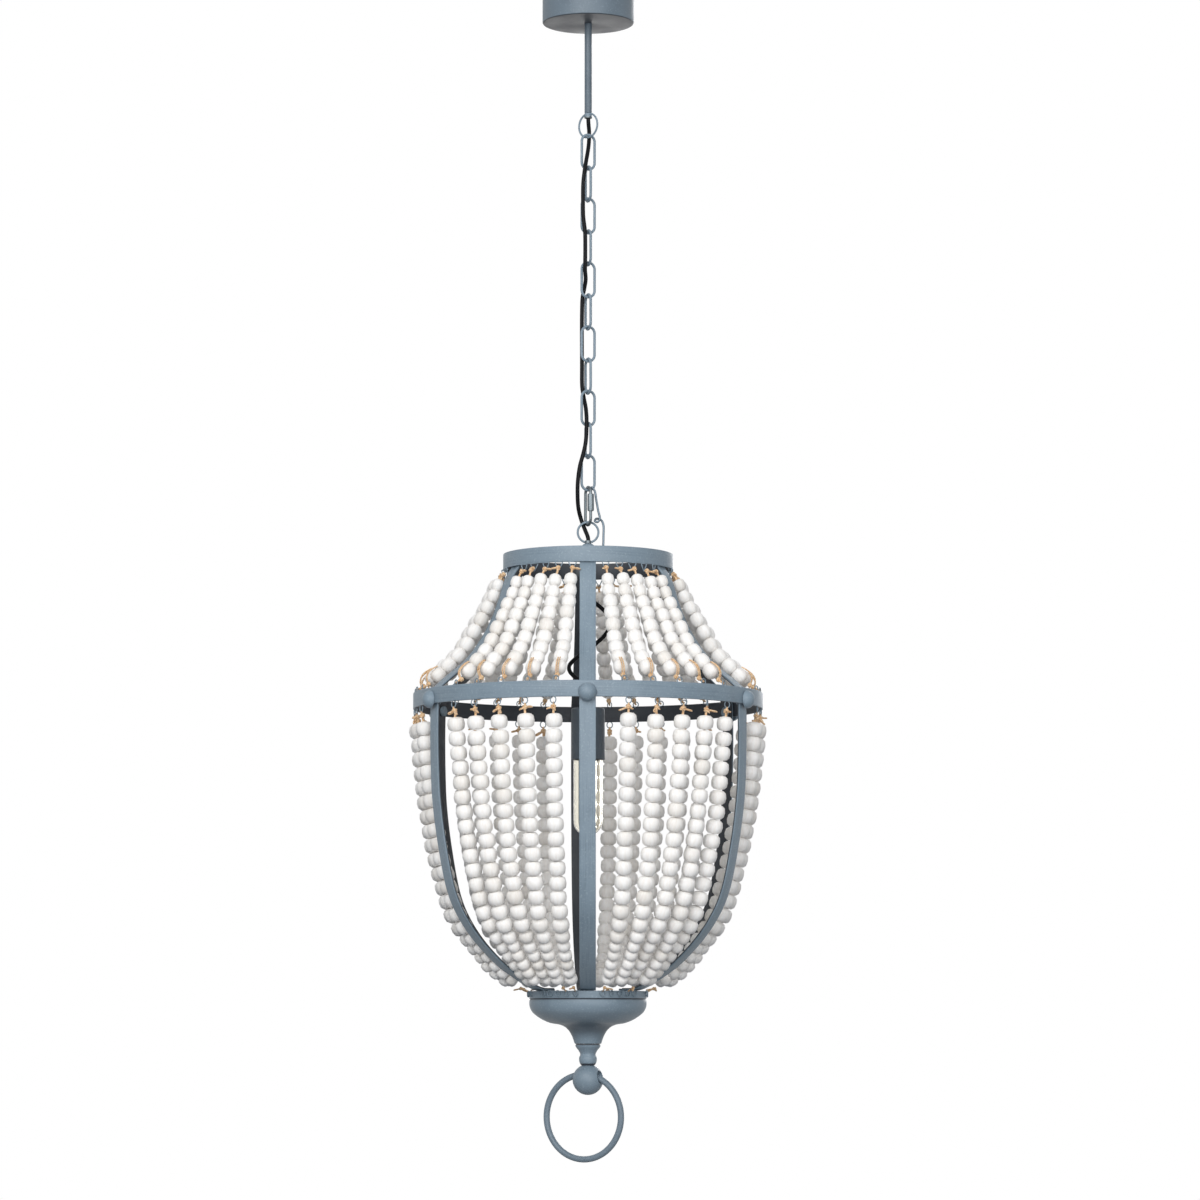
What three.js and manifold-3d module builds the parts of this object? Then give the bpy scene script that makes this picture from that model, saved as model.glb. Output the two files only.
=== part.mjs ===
// Beaded chandelier that hangs from a ceiling: canopy, stem, chain, flat-bar cage with two tiers
// of bead strands, lamp holder and bulb, and a turned finial with a ring.
// Millimetres, +Z up. The origin is the middle of the ceiling bracket's top face.
// The front rib faces -Y.

import * as THREE from "three";
import { mergeVertices } from "three/addons/utils/BufferGeometryUtils.js";
import Module from "manifold-3d";

// Driving dimensions

const GAP = 0.3; // left between touching pieces
const PAST = 1; // how far a cut runs past the face it opens

const CANOPY = { radius: 46.5, height: 50, wall: 1.5, corner: 2.5 };
const BRACKET = { length: 80, width: 22, thickness: 3, bossRadius: 7, bossDepth: 10 };
const SCREW_HOLE = { radius: 2.5, out: 28 };
const STEM = { radius: 3.7, bore: 3.3, bottom: -142.3 };
const CORD_RADIUS = 2.1;
const LOCKNUT = { flats: 13, height: 4 };

const STEM_LOOP = { outer: 13.3, wire: 1.0, collarBottom: -146.8, bore: 2.55, turn: 41 };
const STEM_SHANK = { radius: 3.0, length: 12 };
const LINK = { length: 37.8, width: 16.4, wire: 1.15, count: 11, play: 0.4, turn: 22 };
const QUICK = { length: 41.4, width: 17.2, wire: 1.5 };
const SLEEVE = { flats: 5.8, height: 17.5, raised: 3 };
const CAGE_LOOP = { outer: 11.5, wire: 1.1, neck: 3.3, neckHeight: 3.2, collar: 6.5, shoulder: 2 };

const TOP_BAND = { radius: 85.4, wall: 2, top: -593.8, height: 16 };
const HOOP = { radius: 175.2, wall: 3, top: -734.2, height: 16 };
const RIB = { width: 16, thickness: 2.5 };
const RIB_AZIMUTHS = [-90, -27, 33, 93.4, 152, 208]; // degrees, not quite even on this lamp
const RIVET = { head: 9, rise: 8, shank: 2.7, hole: 3.1, height: -745.8, back: 5, backDepth: 2 };

const CROSSBAR = { top: -597, thickness: 3, width: 20, tab: 6, tabLength: 3 };
const NIPPLE = { radius: 4.0, bore: 2.6, top: -588, bottom: -612, hexFlats: 14, hexHeight: 5 };
const HANGER = { width: 12, thickness: 2, back: 14, foot: 21, bottom: -746.3 };
const CUP = { radius: 16.9, wall: 1.2, corner: 2, top: -748.6, bottom: -800.3 };
const HOLDER = { radius: 15.3, wall: 1.6, corner: 2, base: 4, stub: 7, bottom: -788 };
const BULB = { radius: 14.6, bottom: -876.3, shoulder: -798, neckRadius: 12.2, neck: -785, wall: 1 };
const CAP = { radius: 13.2, top: -758, contact: 5, contactDepth: 2, taper: 4 };

const DISC = { radius: 58.3, top: -1031.2, thickness: 7.8 };
const BOWL = { wall: 3, floor: 16, curve: 25, curveRadius: 38, side: 36 };
const TIE_ROD = { radius: 3, bottom: -1108.6, flats: 12, head: 5 };
const BALL = { radius: 15.3, centre: -1118.7, top: -1103.2 };
const RING = { radius: 41.9, wire: 3.15, turn: 28, tip: 6.6, rise: 4.7, mouth: 0.9 };

// Strands of one panel: how far apart they are, as a share of the panel's width, and how many
// degrees past its middle they hang, for the upper tier panel by panel
const STRANDS = { count: 5, share: 0.153, upperRadius: 6.4, lowerRadius: 8.1 };
const ASIDE = { upper: [-0.3, 1, 1, 1, 1, 1.8], lower: 1 };
const TWINE = { radius: 1.4, outward: 1, drop: 2 };

// The slack flex inside the cage: a loose turn of the length that is left over
const FLEX = { turns: 1.27, start: -182, across: 22, deep: 14, back: 8.8, ease: 0.3, points: 22 };
const FLEX_HEIGHTS = { nipple: -606.3, loopsTop: -613, loopsBottom: -740, holder: -749.5 };

// Measured profiles, as radius and height

const RIB_LINE = [
  [81.1, -595.2],
  [81.1, -610],
  [85.4, -616.5],
  [89.8, -625],
  [96.0, -644],
  [104.3, -664],
  [116.3, -685],
  [132.5, -705],
  [150.0, -719.5],
  [162.5, -729.5],
  [168.8, -735.5],
  [170.3, -741],
  [170.3, -751],
  [170.6, -770],
  [170.2, -803],
  [168.4, -841],
  [161.8, -888],
  [151.0, -935],
  [140.0, -958],
  [122.8, -981],
  [97.4, -1005],
  [80.0, -1016.6],
  [64.0, -1025.6],
  [54.0, -1029.2],
  [42.0, -1029.6],
];

const UPPER_STRAND = [
  [88.8, -614.2],
  [92.7, -622.8],
  [102.7, -645.8],
  [115.7, -668.2],
  [128.7, -691.6],
  [148.4, -712.2],
  [161.4, -724.9],
];

const LOWER_STRAND = [
  [171.2, -764.6],
  [167.6, -801.3],
  [160.4, -858.3],
  [148.3, -915.2],
  [134.2, -958],
  [118.2, -981.9],
  [94.2, -1009.7],
  [75.6, -1023.6],
];

const BOWL_OUTSIDE = [
  [58.2, -1039.4],
  [58.3, -1045.5],
  [55.8, -1051.4],
  [51.5, -1055.4],
  [45.0, -1059.6],
  [37.0, -1062.8],
  [28.0, -1064.4],
  [23.2, -1066.4],
  [19.4, -1069.8],
  [16.0, -1075.4],
  [13.2, -1083.4],
];

const NECK_OUTSIDE = [
  [12.6, -1084.0],
  [12.2, -1086.2],
  [9.6, -1089.6],
  [7.8, -1093.0],
  [7.8, -1094.8],
  [8.7, -1096.4],
  [8.7, -1100.6],
  [8.0, -1102.4],
];

// The supply cord's route down the chain

const SUPPLY_ROUTE = [
  [0, 0, -8],
  [0, 0, -143.5],
  [0.2, 1.0, -151.5],
  [1.0, 5.0, -161.5],
  [0.8, 5.3, -170.6],
  [-0.2, 1.6, -180.5],
  [-2.0, -4.6, -192.5],
  [-3.6, -6.8, -203],
  [-5.0, -6.7, -216],
  [-5.2, -6.7, -234],
  [-4.9, -6.7, -250],
  [-3.2, -6.9, -265],
  [-2.9, -6.9, -282],
  [-3.0, -6.6, -296],
  [-3.1, -4.6, -304.5],
  [-2.5, -1.0, -313.5],
  [-3.8, 2.4, -322],
  [-5.6, 3.3, -331],
  [-6.2, 3.2, -345],
  [-6.2, 3.2, -400],
  [-6.0, 3.3, -423],
  [-4.5, 3.0, -433],
  [-2.4, -1.0, -444.5],
  [-1.6, -4.8, -453.5],
  [-1.5, -6.2, -462],
  [-1.8, -6.5, -473],
  [-2.8, -6.7, -483],
  [-5.2, -6.7, -493.5],
  [-8.2, -6.0, -504.5],
  [-10.2, -4.8, -519],
  [-10.6, -2.6, -532],
  [-9.8, 1.0, -546],
  [-7.0, 4.4, -557.6],
  [-3.2, 2.4, -568],
  [0, 0.1, -577],
  [0, 0, -590],
  [0, 0, -605.8],
];

const PAINT = { color: 0x7f92a0, roughness: 0.6, metalness: 0.2 };
const BEAD = { color: 0xf0eeea, roughness: 0.7, metalness: 0 };
const ZINC = { color: 0xc9ccd0, roughness: 0.35, metalness: 1 };
const CORD = { color: 0x14161c, roughness: 0.6, metalness: 0 };
const GLASS = { color: 0xf2efe6, roughness: 0.05, metalness: 0 };
const PHENOLIC = { color: 0x1c1c1e, roughness: 0.5, metalness: 0 };
const NICKEL = { color: 0xd8d4c8, roughness: 0.3, metalness: 1 };

// Heights that follow from the dimensions above

const radians = THREE.MathUtils.degToRad;
const linkPitch = LINK.length - 4 * LINK.wire - LINK.play;
const stemLoopBottom = STEM.bottom - 2 * STEM_LOOP.outer + 0.5;
const firstLink = stemLoopBottom + 2 * STEM_LOOP.wire + LINK.play + 2 * LINK.wire - LINK.length / 2;
const lastLink = firstLink - linkPitch * (LINK.count - 1);
const quickTop = lastLink - LINK.length / 2 + 2 * LINK.wire + LINK.play + 2 * QUICK.wire;
const quickCentre = quickTop - QUICK.length / 2;
const quickBottom = quickTop - QUICK.length;
const cageLoopTop = quickBottom + 2 * QUICK.wire + LINK.play + 2 * CAGE_LOOP.wire;
const cageLoopCentre = cageLoopTop - CAGE_LOOP.outer;
const ringHole = BALL.centre + RING.rise;

// Solids

const wasm = await Module();
wasm.setup();

function welded(geometry) {
  const bare = geometry.clone();
  bare.deleteAttribute("normal");
  bare.deleteAttribute("uv");
  return mergeVertices(bare, 1e-4);
}

function solid(geometry) {
  const merged = welded(geometry);
  const vertProperties = new Float32Array(merged.attributes.position.array);
  const triVerts = new Uint32Array(merged.index.array);
  return new wasm.Manifold(new wasm.Mesh({ numProp: 3, vertProperties, triVerts }));
}

function geometryOf(manifold) {
  const mesh = manifold.getMesh();
  const geometry = new THREE.BufferGeometry();
  geometry.setAttribute("position", new THREE.BufferAttribute(mesh.vertProperties, 3));
  geometry.setIndex(new THREE.BufferAttribute(mesh.triVerts, 1));
  return geometry;
}

// A turned shape: a closed profile of radius and height pairs, spun about the upright axis.
function turned(profile, segments) {
  const outline = profile.map(([radius, height]) => new THREE.Vector2(radius, height));
  if (THREE.ShapeUtils.area(outline) < 0) {
    outline.reverse();
  }
  outline.push(outline[0].clone());
  const geometry = new THREE.LatheGeometry(outline, segments);
  return geometry.rotateX(Math.PI / 2);
}

// A tube from one height to another.
function pipe(outer, inner, top, bottom, segments) {
  return turned([[inner, bottom], [outer, bottom], [outer, top], [inner, top]], segments);
}

function rod(radius, top, bottom, segments) {
  const geometry = new THREE.CylinderGeometry(radius, radius, top - bottom, segments);
  return geometry.rotateX(Math.PI / 2).translate(0, 0, (top + bottom) / 2);
}

function hexagon(flats, top, bottom) {
  return rod(flats / Math.sqrt(3), top, bottom, 6);
}

function block(x, y, z, at) {
  return new THREE.BoxGeometry(x, y, z).translate(...at);
}

// A ring of round wire that stands upright in the X-Z plane, pulled out to an oval of that length.
// With 4n + 2 segments it has a vertex at its top and bottom and none where it is pulled apart.
function wireOval(width, length, wire, sides, segments) {
  const radius = width / 2 - wire;
  const geometry = new THREE.TorusGeometry(radius, wire, sides, segments);
  geometry.rotateZ(Math.PI / segments).rotateX(Math.PI / 2);
  const pull = (length - width) / 2;
  const position = geometry.attributes.position;
  for (let i = 0; i < position.count; i += 1) {
    const z = position.getZ(i);
    position.setZ(i, z + Math.sign(z) * pull);
  }
  return geometry;
}

function curveThrough(points) {
  return new THREE.CatmullRomCurve3(points.map((p) => new THREE.Vector3(...p)), false, "centripetal");
}

// A round cord or strand along a curve.
function tube(points, radius, sides, steps) {
  const section = new THREE.Shape();
  for (let i = 0; i < sides; i += 1) {
    const angle = (2 * Math.PI * i) / sides;
    section[i ? "lineTo" : "moveTo"](radius * Math.cos(angle), radius * Math.sin(angle));
  }
  section.closePath();
  const extrudePath = curveThrough(points);
  return new THREE.ExtrudeGeometry(section, { steps, extrudePath, bevelEnabled: false });
}

// The parts

const lamp = new THREE.Group();

function add(name, geometry, finish, turn = 0) {
  const mesh = new THREE.Mesh(geometry, new THREE.MeshStandardMaterial(finish));
  mesh.name = name;
  mesh.rotation.z = radians(turn);
  lamp.add(mesh);
  return mesh;
}

function numbered(name, i) {
  return `${name}_${String(i).padStart(2, "0")}`;
}

function ceilingBracket() {
  const { length, width, thickness, bossRadius, bossDepth } = BRACKET;
  const plate = block(length, width, thickness, [0, 0, -thickness / 2]);
  const bottom = -thickness - bossDepth;
  const boss = rod(bossRadius, -thickness + PAST, bottom, 16);
  const bore = rod(STEM.radius + GAP, -thickness, bottom - PAST, 16);
  let bracket = solid(plate).add(solid(boss)).subtract(solid(bore));
  for (const x of [-SCREW_HOLE.out, SCREW_HOLE.out]) {
    const hole = rod(SCREW_HOLE.radius, PAST, -thickness - PAST, 8).translate(x, 0, 0);
    bracket = bracket.subtract(solid(hole));
  }
  return geometryOf(bracket);
}

function canopy() {
  const { radius, height, wall, corner } = CANOPY;
  const hole = STEM.radius + GAP;
  return turned(
    [
      [hole, -height],
      [radius - corner, -height],
      [radius, -height + corner],
      [radius, 0],
      [radius - wall, 0],
      [radius - wall, -height + corner],
      [radius - corner, -height + wall],
      [hole, -height + wall],
    ],
    32,
  );
}

function stemLoop() {
  const { outer, wire, collarBottom, bore } = STEM_LOOP;
  const ring = new THREE.TorusGeometry(outer - wire, wire, 6, 16);
  ring.rotateX(Math.PI / 2).translate(0, 0, stemLoopBottom + outer);
  const collarTop = STEM.bottom - GAP;
  const collar = turned(
    [
      [0, collarBottom],
      [STEM.radius, collarBottom],
      [STEM.radius, collarTop],
      [STEM_SHANK.radius, collarTop],
      [STEM_SHANK.radius, collarTop + STEM_SHANK.length],
      [0, collarTop + STEM_SHANK.length],
    ],
    16,
  );
  const wireway = rod(bore, collarTop + STEM_SHANK.length + PAST, collarBottom - PAST, 16);
  return geometryOf(solid(ring).add(solid(collar)).subtract(solid(wireway)));
}

function quickLink() {
  const oval = wireOval(QUICK.width, QUICK.length, QUICK.wire, 6, 18);
  return oval.rotateZ(-Math.PI / 2).translate(0, 0, quickCentre);
}

function quickLinkSleeve() {
  const bore = QUICK.wire + GAP;
  const top = quickCentre + SLEEVE.height / 2 + SLEEVE.raised;
  const bottom = top - SLEEVE.height;
  const nut = solid(hexagon(SLEEVE.flats, top, bottom));
  const sleeve = nut.subtract(solid(rod(bore, top + PAST, bottom - PAST, 12)));
  return geometryOf(sleeve).translate(0, -(QUICK.width / 2 - QUICK.wire), 0);
}

function cageLoop() {
  const { outer, wire, neck, neckHeight, collar, shoulder } = CAGE_LOOP;
  const ring = new THREE.TorusGeometry(outer - wire, wire, 6, 16);
  ring.rotateX(Math.PI / 2).translate(0, 0, cageLoopCentre);
  const loopBottom = cageLoopCentre - outer;
  const bottom = CROSSBAR.top + GAP;
  const body = turned(
    [
      [0, bottom],
      [collar, bottom],
      [collar, loopBottom - shoulder],
      [collar - shoulder, loopBottom],
      [neck, loopBottom + shoulder / 2],
      [neck, loopBottom + neckHeight],
      [0, loopBottom + neckHeight],
    ],
    16,
  );
  const wireway = rod(NIPPLE.bore, loopBottom + 2 * neckHeight, bottom - PAST, 16);
  const socket = rod(NIPPLE.radius + GAP, NIPPLE.top + GAP, bottom - PAST, 16);
  return geometryOf(solid(ring).add(solid(body)).subtract(solid(wireway)).subtract(solid(socket)));
}

function crossbar() {
  const { top, thickness, width, tab, tabLength } = CROSSBAR;
  const reach = TOP_BAND.radius - TOP_BAND.wall - GAP;
  const inside = solid(rod(reach, top + PAST, top - 2 * (thickness + tab), 48));
  const bar = solid(block(2 * (reach + PAST), width, thickness, [0, 0, top - thickness / 2]));
  const hole = solid(rod(NIPPLE.radius + GAP, top + PAST, top - thickness - PAST, 16));
  let whole = bar;
  for (const side of [-1, 1]) {
    const at = [side * (reach + PAST - (tabLength + PAST) / 2), 0, top - (thickness + tab) / 2];
    whole = whole.add(solid(block(tabLength + PAST, width, thickness + tab, at)));
  }
  return geometryOf(whole.intersect(inside).subtract(hole));
}

function loopNipple() {
  const { radius, bore, top, bottom, hexFlats, hexHeight } = NIPPLE;
  const hexTop = CROSSBAR.top - CROSSBAR.thickness - HANGER.thickness - 2 * GAP;
  const nut = solid(hexagon(hexFlats, hexTop, hexTop - hexHeight));
  const shaft = solid(rod(radius, top, bottom, 16));
  return geometryOf(nut.add(shaft).subtract(solid(rod(bore, top + PAST, bottom - PAST, 16))));
}

function socketHanger() {
  const { width, thickness, back, foot, bottom } = HANGER;
  const top = CROSSBAR.top - CROSSBAR.thickness - GAP;
  const strap = block(width, thickness, top - bottom, [0, back - thickness / 2, (top + bottom) / 2]);
  const upper = block(width, foot, thickness, [0, back - foot / 2, top - thickness / 2]);
  const lower = block(width, foot, thickness, [0, back - foot / 2, bottom + thickness / 2]);
  const hole = rod(NIPPLE.radius + GAP, top + PAST, top - thickness - PAST, 16);
  const lowerHole = rod(NIPPLE.radius + GAP, bottom + thickness + PAST, bottom - PAST, 16);
  const body = solid(strap).add(solid(upper)).add(solid(lower));
  return geometryOf(body.subtract(solid(hole)).subtract(solid(lowerHole)));
}

function socketCup() {
  const { radius, wall, corner, top, bottom } = CUP;
  const hole = NIPPLE.radius + GAP;
  return turned(
    [
      [hole, top - wall],
      [radius - wall - corner, top - wall],
      [radius - wall, top - wall - corner],
      [radius - wall, bottom],
      [radius, bottom],
      [radius, top - corner],
      [radius - corner, top],
      [hole, top],
    ],
    24,
  );
}

function lampHolder() {
  const top = CUP.top - CUP.wall - GAP;
  const { radius, wall, corner, base, stub, bottom } = HOLDER;
  return turned(
    [
      [NIPPLE.bore, CUP.top + stub],
      [NIPPLE.radius, CUP.top + stub],
      [NIPPLE.radius, top],
      [radius - corner, top],
      [radius - corner, top - corner],
      [radius, top - 2 * corner],
      [radius, bottom],
      [radius - wall, bottom],
      [radius - wall, top - base - corner],
      [NIPPLE.bore, top - base],
    ],
    16,
  );
}

function bulbGlass() {
  const { radius, bottom, shoulder, neckRadius, neck, wall } = BULB;
  const dome = 4;
  const outside = [[neckRadius, neck], [radius, shoulder]];
  const inside = [[neckRadius - wall, neck], [radius - wall, shoulder]];
  for (let i = 0; i < dome; i += 1) {
    const angle = (Math.PI / 2) * (i / dome);
    const drop = bottom + radius - radius * Math.sin(angle);
    outside.push([radius * Math.cos(angle), drop]);
    inside.push([(radius - wall) * Math.cos(angle), drop + wall * Math.sin(angle)]);
  }
  outside.push([0, bottom]);
  inside.push([0, bottom + wall]);
  return turned([...inside, ...outside.reverse()], 16);
}

function bulbCap() {
  const { radius, top, contact, contactDepth, taper } = CAP;
  const skirt = BULB.neck + GAP;
  return turned(
    [
      [0, top],
      [contact, top],
      [contact, top - contactDepth],
      [radius, top - contactDepth - taper],
      [radius, skirt],
      [0, skirt],
    ],
    16,
  );
}

// One rib: the outline of a bent flat bar seen from the side, as wide as the bar.
function rib() {
  const line = curveThrough(RIB_LINE.map(([r, z]) => [r, 0, z]));
  const steps = RIB_LINE.length - 1;
  const outer = [];
  const inner = [];
  for (let i = 0; i <= steps; i += 1) {
    const at = line.getPoint(i / steps);
    const along = line.getTangent(i / steps);
    const off = new THREE.Vector2(-along.z, along.x).multiplyScalar(RIB.thickness / 2);
    outer.push(new THREE.Vector2(at.x + off.x, at.z + off.y));
    inner.push(new THREE.Vector2(at.x - off.x, at.z - off.y));
  }
  const shape = new THREE.Shape([...outer, ...inner.reverse()]);
  const bar = new THREE.ExtrudeGeometry(shape, { depth: RIB.width, bevelEnabled: false, steps: 1 });
  bar.translate(0, 0, -RIB.width / 2).rotateX(Math.PI / 2);
  return geometryOf(solid(bar).subtract(solid(rivetHole())));
}

function rivetHole() {
  const { hole, height, rise } = RIVET;
  const drill = new THREE.CylinderGeometry(hole, hole, 4 * rise, 8).rotateZ(Math.PI / 2);
  return drill.translate(HOOP.radius, 0, height);
}

// A rivet: a ball head outside the hoop, a shank through hoop and rib, and a flat head inside.
function ballRivet() {
  const { head, rise, shank, height, back, backDepth } = RIVET;
  const face = HOOP.radius + GAP;
  const seat = HOOP.radius - HOOP.wall - 4 * GAP - RIB.thickness;
  const profile = [
    [0, seat - backDepth],
    [back, seat - backDepth],
    [back, seat],
    [shank, seat],
    [shank, face],
    [head, face],
  ];
  const rings = 3;
  for (let i = 1; i < rings; i += 1) {
    const angle = (Math.PI / 2) * (i / rings);
    profile.push([head * Math.cos(angle), face + rise * Math.sin(angle)]);
  }
  profile.push([0, face + rise]);
  return turned(profile, 12).rotateY(Math.PI / 2).translate(0, 0, height);
}

function hoop() {
  const { radius, wall, top, height } = HOOP;
  let ring = solid(pipe(radius, radius - wall, top, top - height, 54));
  for (const azimuth of RIB_AZIMUTHS) {
    const hole = rivetHole().rotateZ(radians(azimuth));
    ring = ring.subtract(solid(hole));
  }
  return geometryOf(ring);
}

function disc() {
  const { radius, top, thickness } = DISC;
  const hole = TIE_ROD.radius + GAP;
  return pipe(radius, hole, top, top - thickness, 28);
}

// The bowl is a shell, open on top, where the disc covers it.
function bowl() {
  const { wall, floor, curve, curveRadius, side } = BOWL;
  const hole = TIE_ROD.radius + GAP;
  const base = BOWL_OUTSIDE.at(-1)[1];
  const [rim, top] = BOWL_OUTSIDE[0];
  const inside = [
    [hole, base],
    [hole, base + floor],
    [curveRadius, base + curve],
    [rim - wall, base + side],
    [rim - wall, top],
  ];
  return turned([...BOWL_OUTSIDE, ...inside], 28);
}

function neck() {
  const hole = TIE_ROD.radius + GAP;
  const profile = [...NECK_OUTSIDE, [hole, NECK_OUTSIDE.at(-1)[1]], [hole, NECK_OUTSIDE[0][1]]];
  return turned(profile, 16);
}

// The hole for the ring dips to one side. It is wider at its mouths, so the bent wire can swing in it.
function finialBall() {
  const round = new THREE.SphereGeometry(BALL.radius, 18, 10).rotateX(Math.PI / 2);
  const sphere = solid(round.translate(0, 0, BALL.centre));
  const wide = 3 * BALL.radius;
  const lid = solid(block(wide, wide, wide, [0, 0, BALL.top + wide / 2]));
  const reach = BALL.radius + PAST;
  const hole = [[0, -reach]];
  for (let i = -3; i <= 3; i += 1) {
    const along = (reach * i) / 3;
    const sag = RING.radius - Math.sqrt(RING.radius ** 2 - along ** 2);
    hole.push([RING.wire + RING.mouth + sag, along]);
  }
  hole.push([0, reach]);
  const mouth = turned(hole, 14).rotateY(Math.PI / 2 + radians(RING.tip)).translate(0, 0, ringHole);
  const bore = rod(TIE_ROD.radius + GAP, BALL.top + PAST, TIE_ROD.bottom - GAP, 16);
  return geometryOf(sphere.subtract(lid).subtract(solid(mouth)).subtract(solid(bore)));
}

function tieRod() {
  const top = DISC.top + GAP;
  const head = solid(hexagon(TIE_ROD.flats, top + TIE_ROD.head, top));
  return geometryOf(head.add(solid(rod(TIE_ROD.radius, top + PAST, TIE_ROD.bottom, 16))));
}

function finialRing() {
  const ring = new THREE.TorusGeometry(RING.radius, RING.wire, 8, 30);
  ring.rotateX(Math.PI / 2).translate(0, 0, -RING.radius);
  return ring.rotateY(radians(RING.tip)).translate(0, 0, ringHole);
}

// The slack flex: a loose turn about a point in front of the hanger, wide across and less deep,
// that opens out below the nipple and draws in again above the lamp holder.
function flexRoute() {
  const { turns, start, across, deep, back, ease, points } = FLEX;
  const { nipple, loopsTop, loopsBottom, holder } = FLEX_HEIGHTS;
  const route = [[0, 0, nipple]];
  for (let i = 0; i <= points; i += 1) {
    const t = i / points;
    const open = THREE.MathUtils.smoothstep(t, 0, ease) * THREE.MathUtils.smoothstep(1 - t, 0, ease);
    const angle = radians(start + 360 * turns * t);
    route.push([
      open * across * Math.cos(angle),
      open * (back - deep + deep * Math.sin(angle)),
      loopsTop + (loopsBottom - loopsTop) * t,
    ]);
  }
  route.push([0, 0, holder]);
  return route;
}

// The least gap between stretches of a cord that are more than five diameters apart along it.
function leastGap(points, radius) {
  const curve = curveThrough(points);
  const count = 300;
  const spaced = curve.getSpacedPoints(count);
  const apart = Math.ceil((10 * radius * count) / curve.getLength());
  let least = Infinity;
  for (let i = 0; i <= count; i += 1) {
    for (let j = i + apart; j <= count; j += 1) {
      least = Math.min(least, spaced[i].distanceTo(spaced[j]) - 2 * radius);
    }
  }
  return least;
}

// Five strands of one panel, fused where they crowd together, or by the twine that ties their tops.
function strandPanel(line, radius, step, steps, crowd, twine) {
  let panel = null;
  for (let i = 0; i < STRANDS.count; i += 1) {
    const side = (i - (STRANDS.count - 1) / 2) * step;
    const points = line.map(([r, z], n) => {
      const angle = radians(side * (1 - (crowd * n) / (line.length - 1)));
      return [r * Math.cos(angle), r * Math.sin(angle), z];
    });
    const strand = solid(tube(points, radius, 5, steps));
    panel = panel ? panel.add(strand) : strand;
  }
  if (twine) {
    const r = line[0][0] + TWINE.outward;
    const z = line[0][1] - TWINE.drop;
    const arc = [];
    for (let i = 1 - STRANDS.count; i < STRANDS.count; i += 1) {
      const angle = radians((i * step) / 2);
      arc.push([r * Math.cos(angle), r * Math.sin(angle), z]);
    }
    panel = panel.add(solid(tube(arc, TWINE.radius, 4, 4)));
  }
  return geometryOf(panel);
}

add("ceiling_bracket", ceilingBracket(), ZINC);
add("stem", pipe(STEM.radius, STEM.bore, -BRACKET.thickness - GAP, STEM.bottom, 20), PAINT);
const nutTop = -BRACKET.thickness - BRACKET.bossDepth - GAP;
const nut = solid(hexagon(LOCKNUT.flats, nutTop, nutTop - LOCKNUT.height));
const nutHole = solid(rod(STEM.radius + GAP, nutTop + PAST, nutTop - LOCKNUT.height - PAST, 20));
add("stem_locknut", geometryOf(nut.subtract(nutHole)), ZINC);
add("ceiling_canopy", canopy(), PAINT);
add("stem_loop", stemLoop(), PAINT, -STEM_LOOP.turn);

for (let i = 1; i <= LINK.count; i += 1) {
  const link = wireOval(LINK.width, LINK.length, LINK.wire, 6, 14);
  link.translate(0, 0, firstLink - linkPitch * (i - 1));
  add(numbered("chain_link", i), link, PAINT, LINK.turn + (i % 2 ? 0 : 90));
}
add("quick_link", quickLink(), ZINC, LINK.turn);
add("quick_link_sleeve", quickLinkSleeve(), ZINC, LINK.turn);
add("cage_loop", cageLoop(), PAINT);
add("supply_cord", tube(SUPPLY_ROUTE, CORD_RADIUS, 8, 52), CORD);

const band = pipe(TOP_BAND.radius, TOP_BAND.radius - TOP_BAND.wall, TOP_BAND.top,
  TOP_BAND.top - TOP_BAND.height, 40);
add("top_band", band, PAINT);
add("top_crossbar", crossbar(), PAINT);
add("loop_nipple", loopNipple(), ZINC);
add("socket_hanger", socketHanger(), PAINT);
const flexPoints = flexRoute();
console.log(`least gap of the slack flex to itself ${leastGap(flexPoints, CORD_RADIUS).toFixed(1)} mm`);
add("inner_flex", tube(flexPoints, CORD_RADIUS, 8, 36), CORD);
add("socket_cup", socketCup(), PAINT);
add("lamp_holder", lampHolder(), PHENOLIC);
add("bulb_glass", bulbGlass(), GLASS);
add("bulb_cap", bulbCap(), NICKEL);

for (let i = 0; i < RIB_AZIMUTHS.length; i += 1) {
  const azimuth = RIB_AZIMUTHS[i];
  const next = i + 1 < RIB_AZIMUTHS.length ? RIB_AZIMUTHS[i + 1] : RIB_AZIMUTHS[0] + 360;
  const middle = (azimuth + next) / 2;
  const step = STRANDS.share * (next - azimuth);
  add(`rib_${i + 1}`, rib(), PAINT, azimuth);
  add(`ball_rivet_${i + 1}`, ballRivet(), PAINT, azimuth);
  const upper = strandPanel(UPPER_STRAND, STRANDS.upperRadius, step, 6, 0, true);
  const lower = strandPanel(LOWER_STRAND, STRANDS.lowerRadius, step, 8, 0.2, false);
  add(`upper_strands_${i + 1}`, upper, BEAD, middle + ASIDE.upper[i]);
  add(`lower_strands_${i + 1}`, lower, BEAD, middle + ASIDE.lower);
}
add("mid_hoop", hoop(), PAINT);

add("bottom_disc", disc(), PAINT);
add("bottom_bowl", bowl(), PAINT);
add("neck_spindle", neck(), PAINT);
add("finial_ball", finialBall(), PAINT, -RING.turn);
add("tie_rod", tieRod(), ZINC);
add("finial_ring", finialRing(), PAINT, -RING.turn);

export default lamp;
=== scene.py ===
from functools import partial

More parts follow.
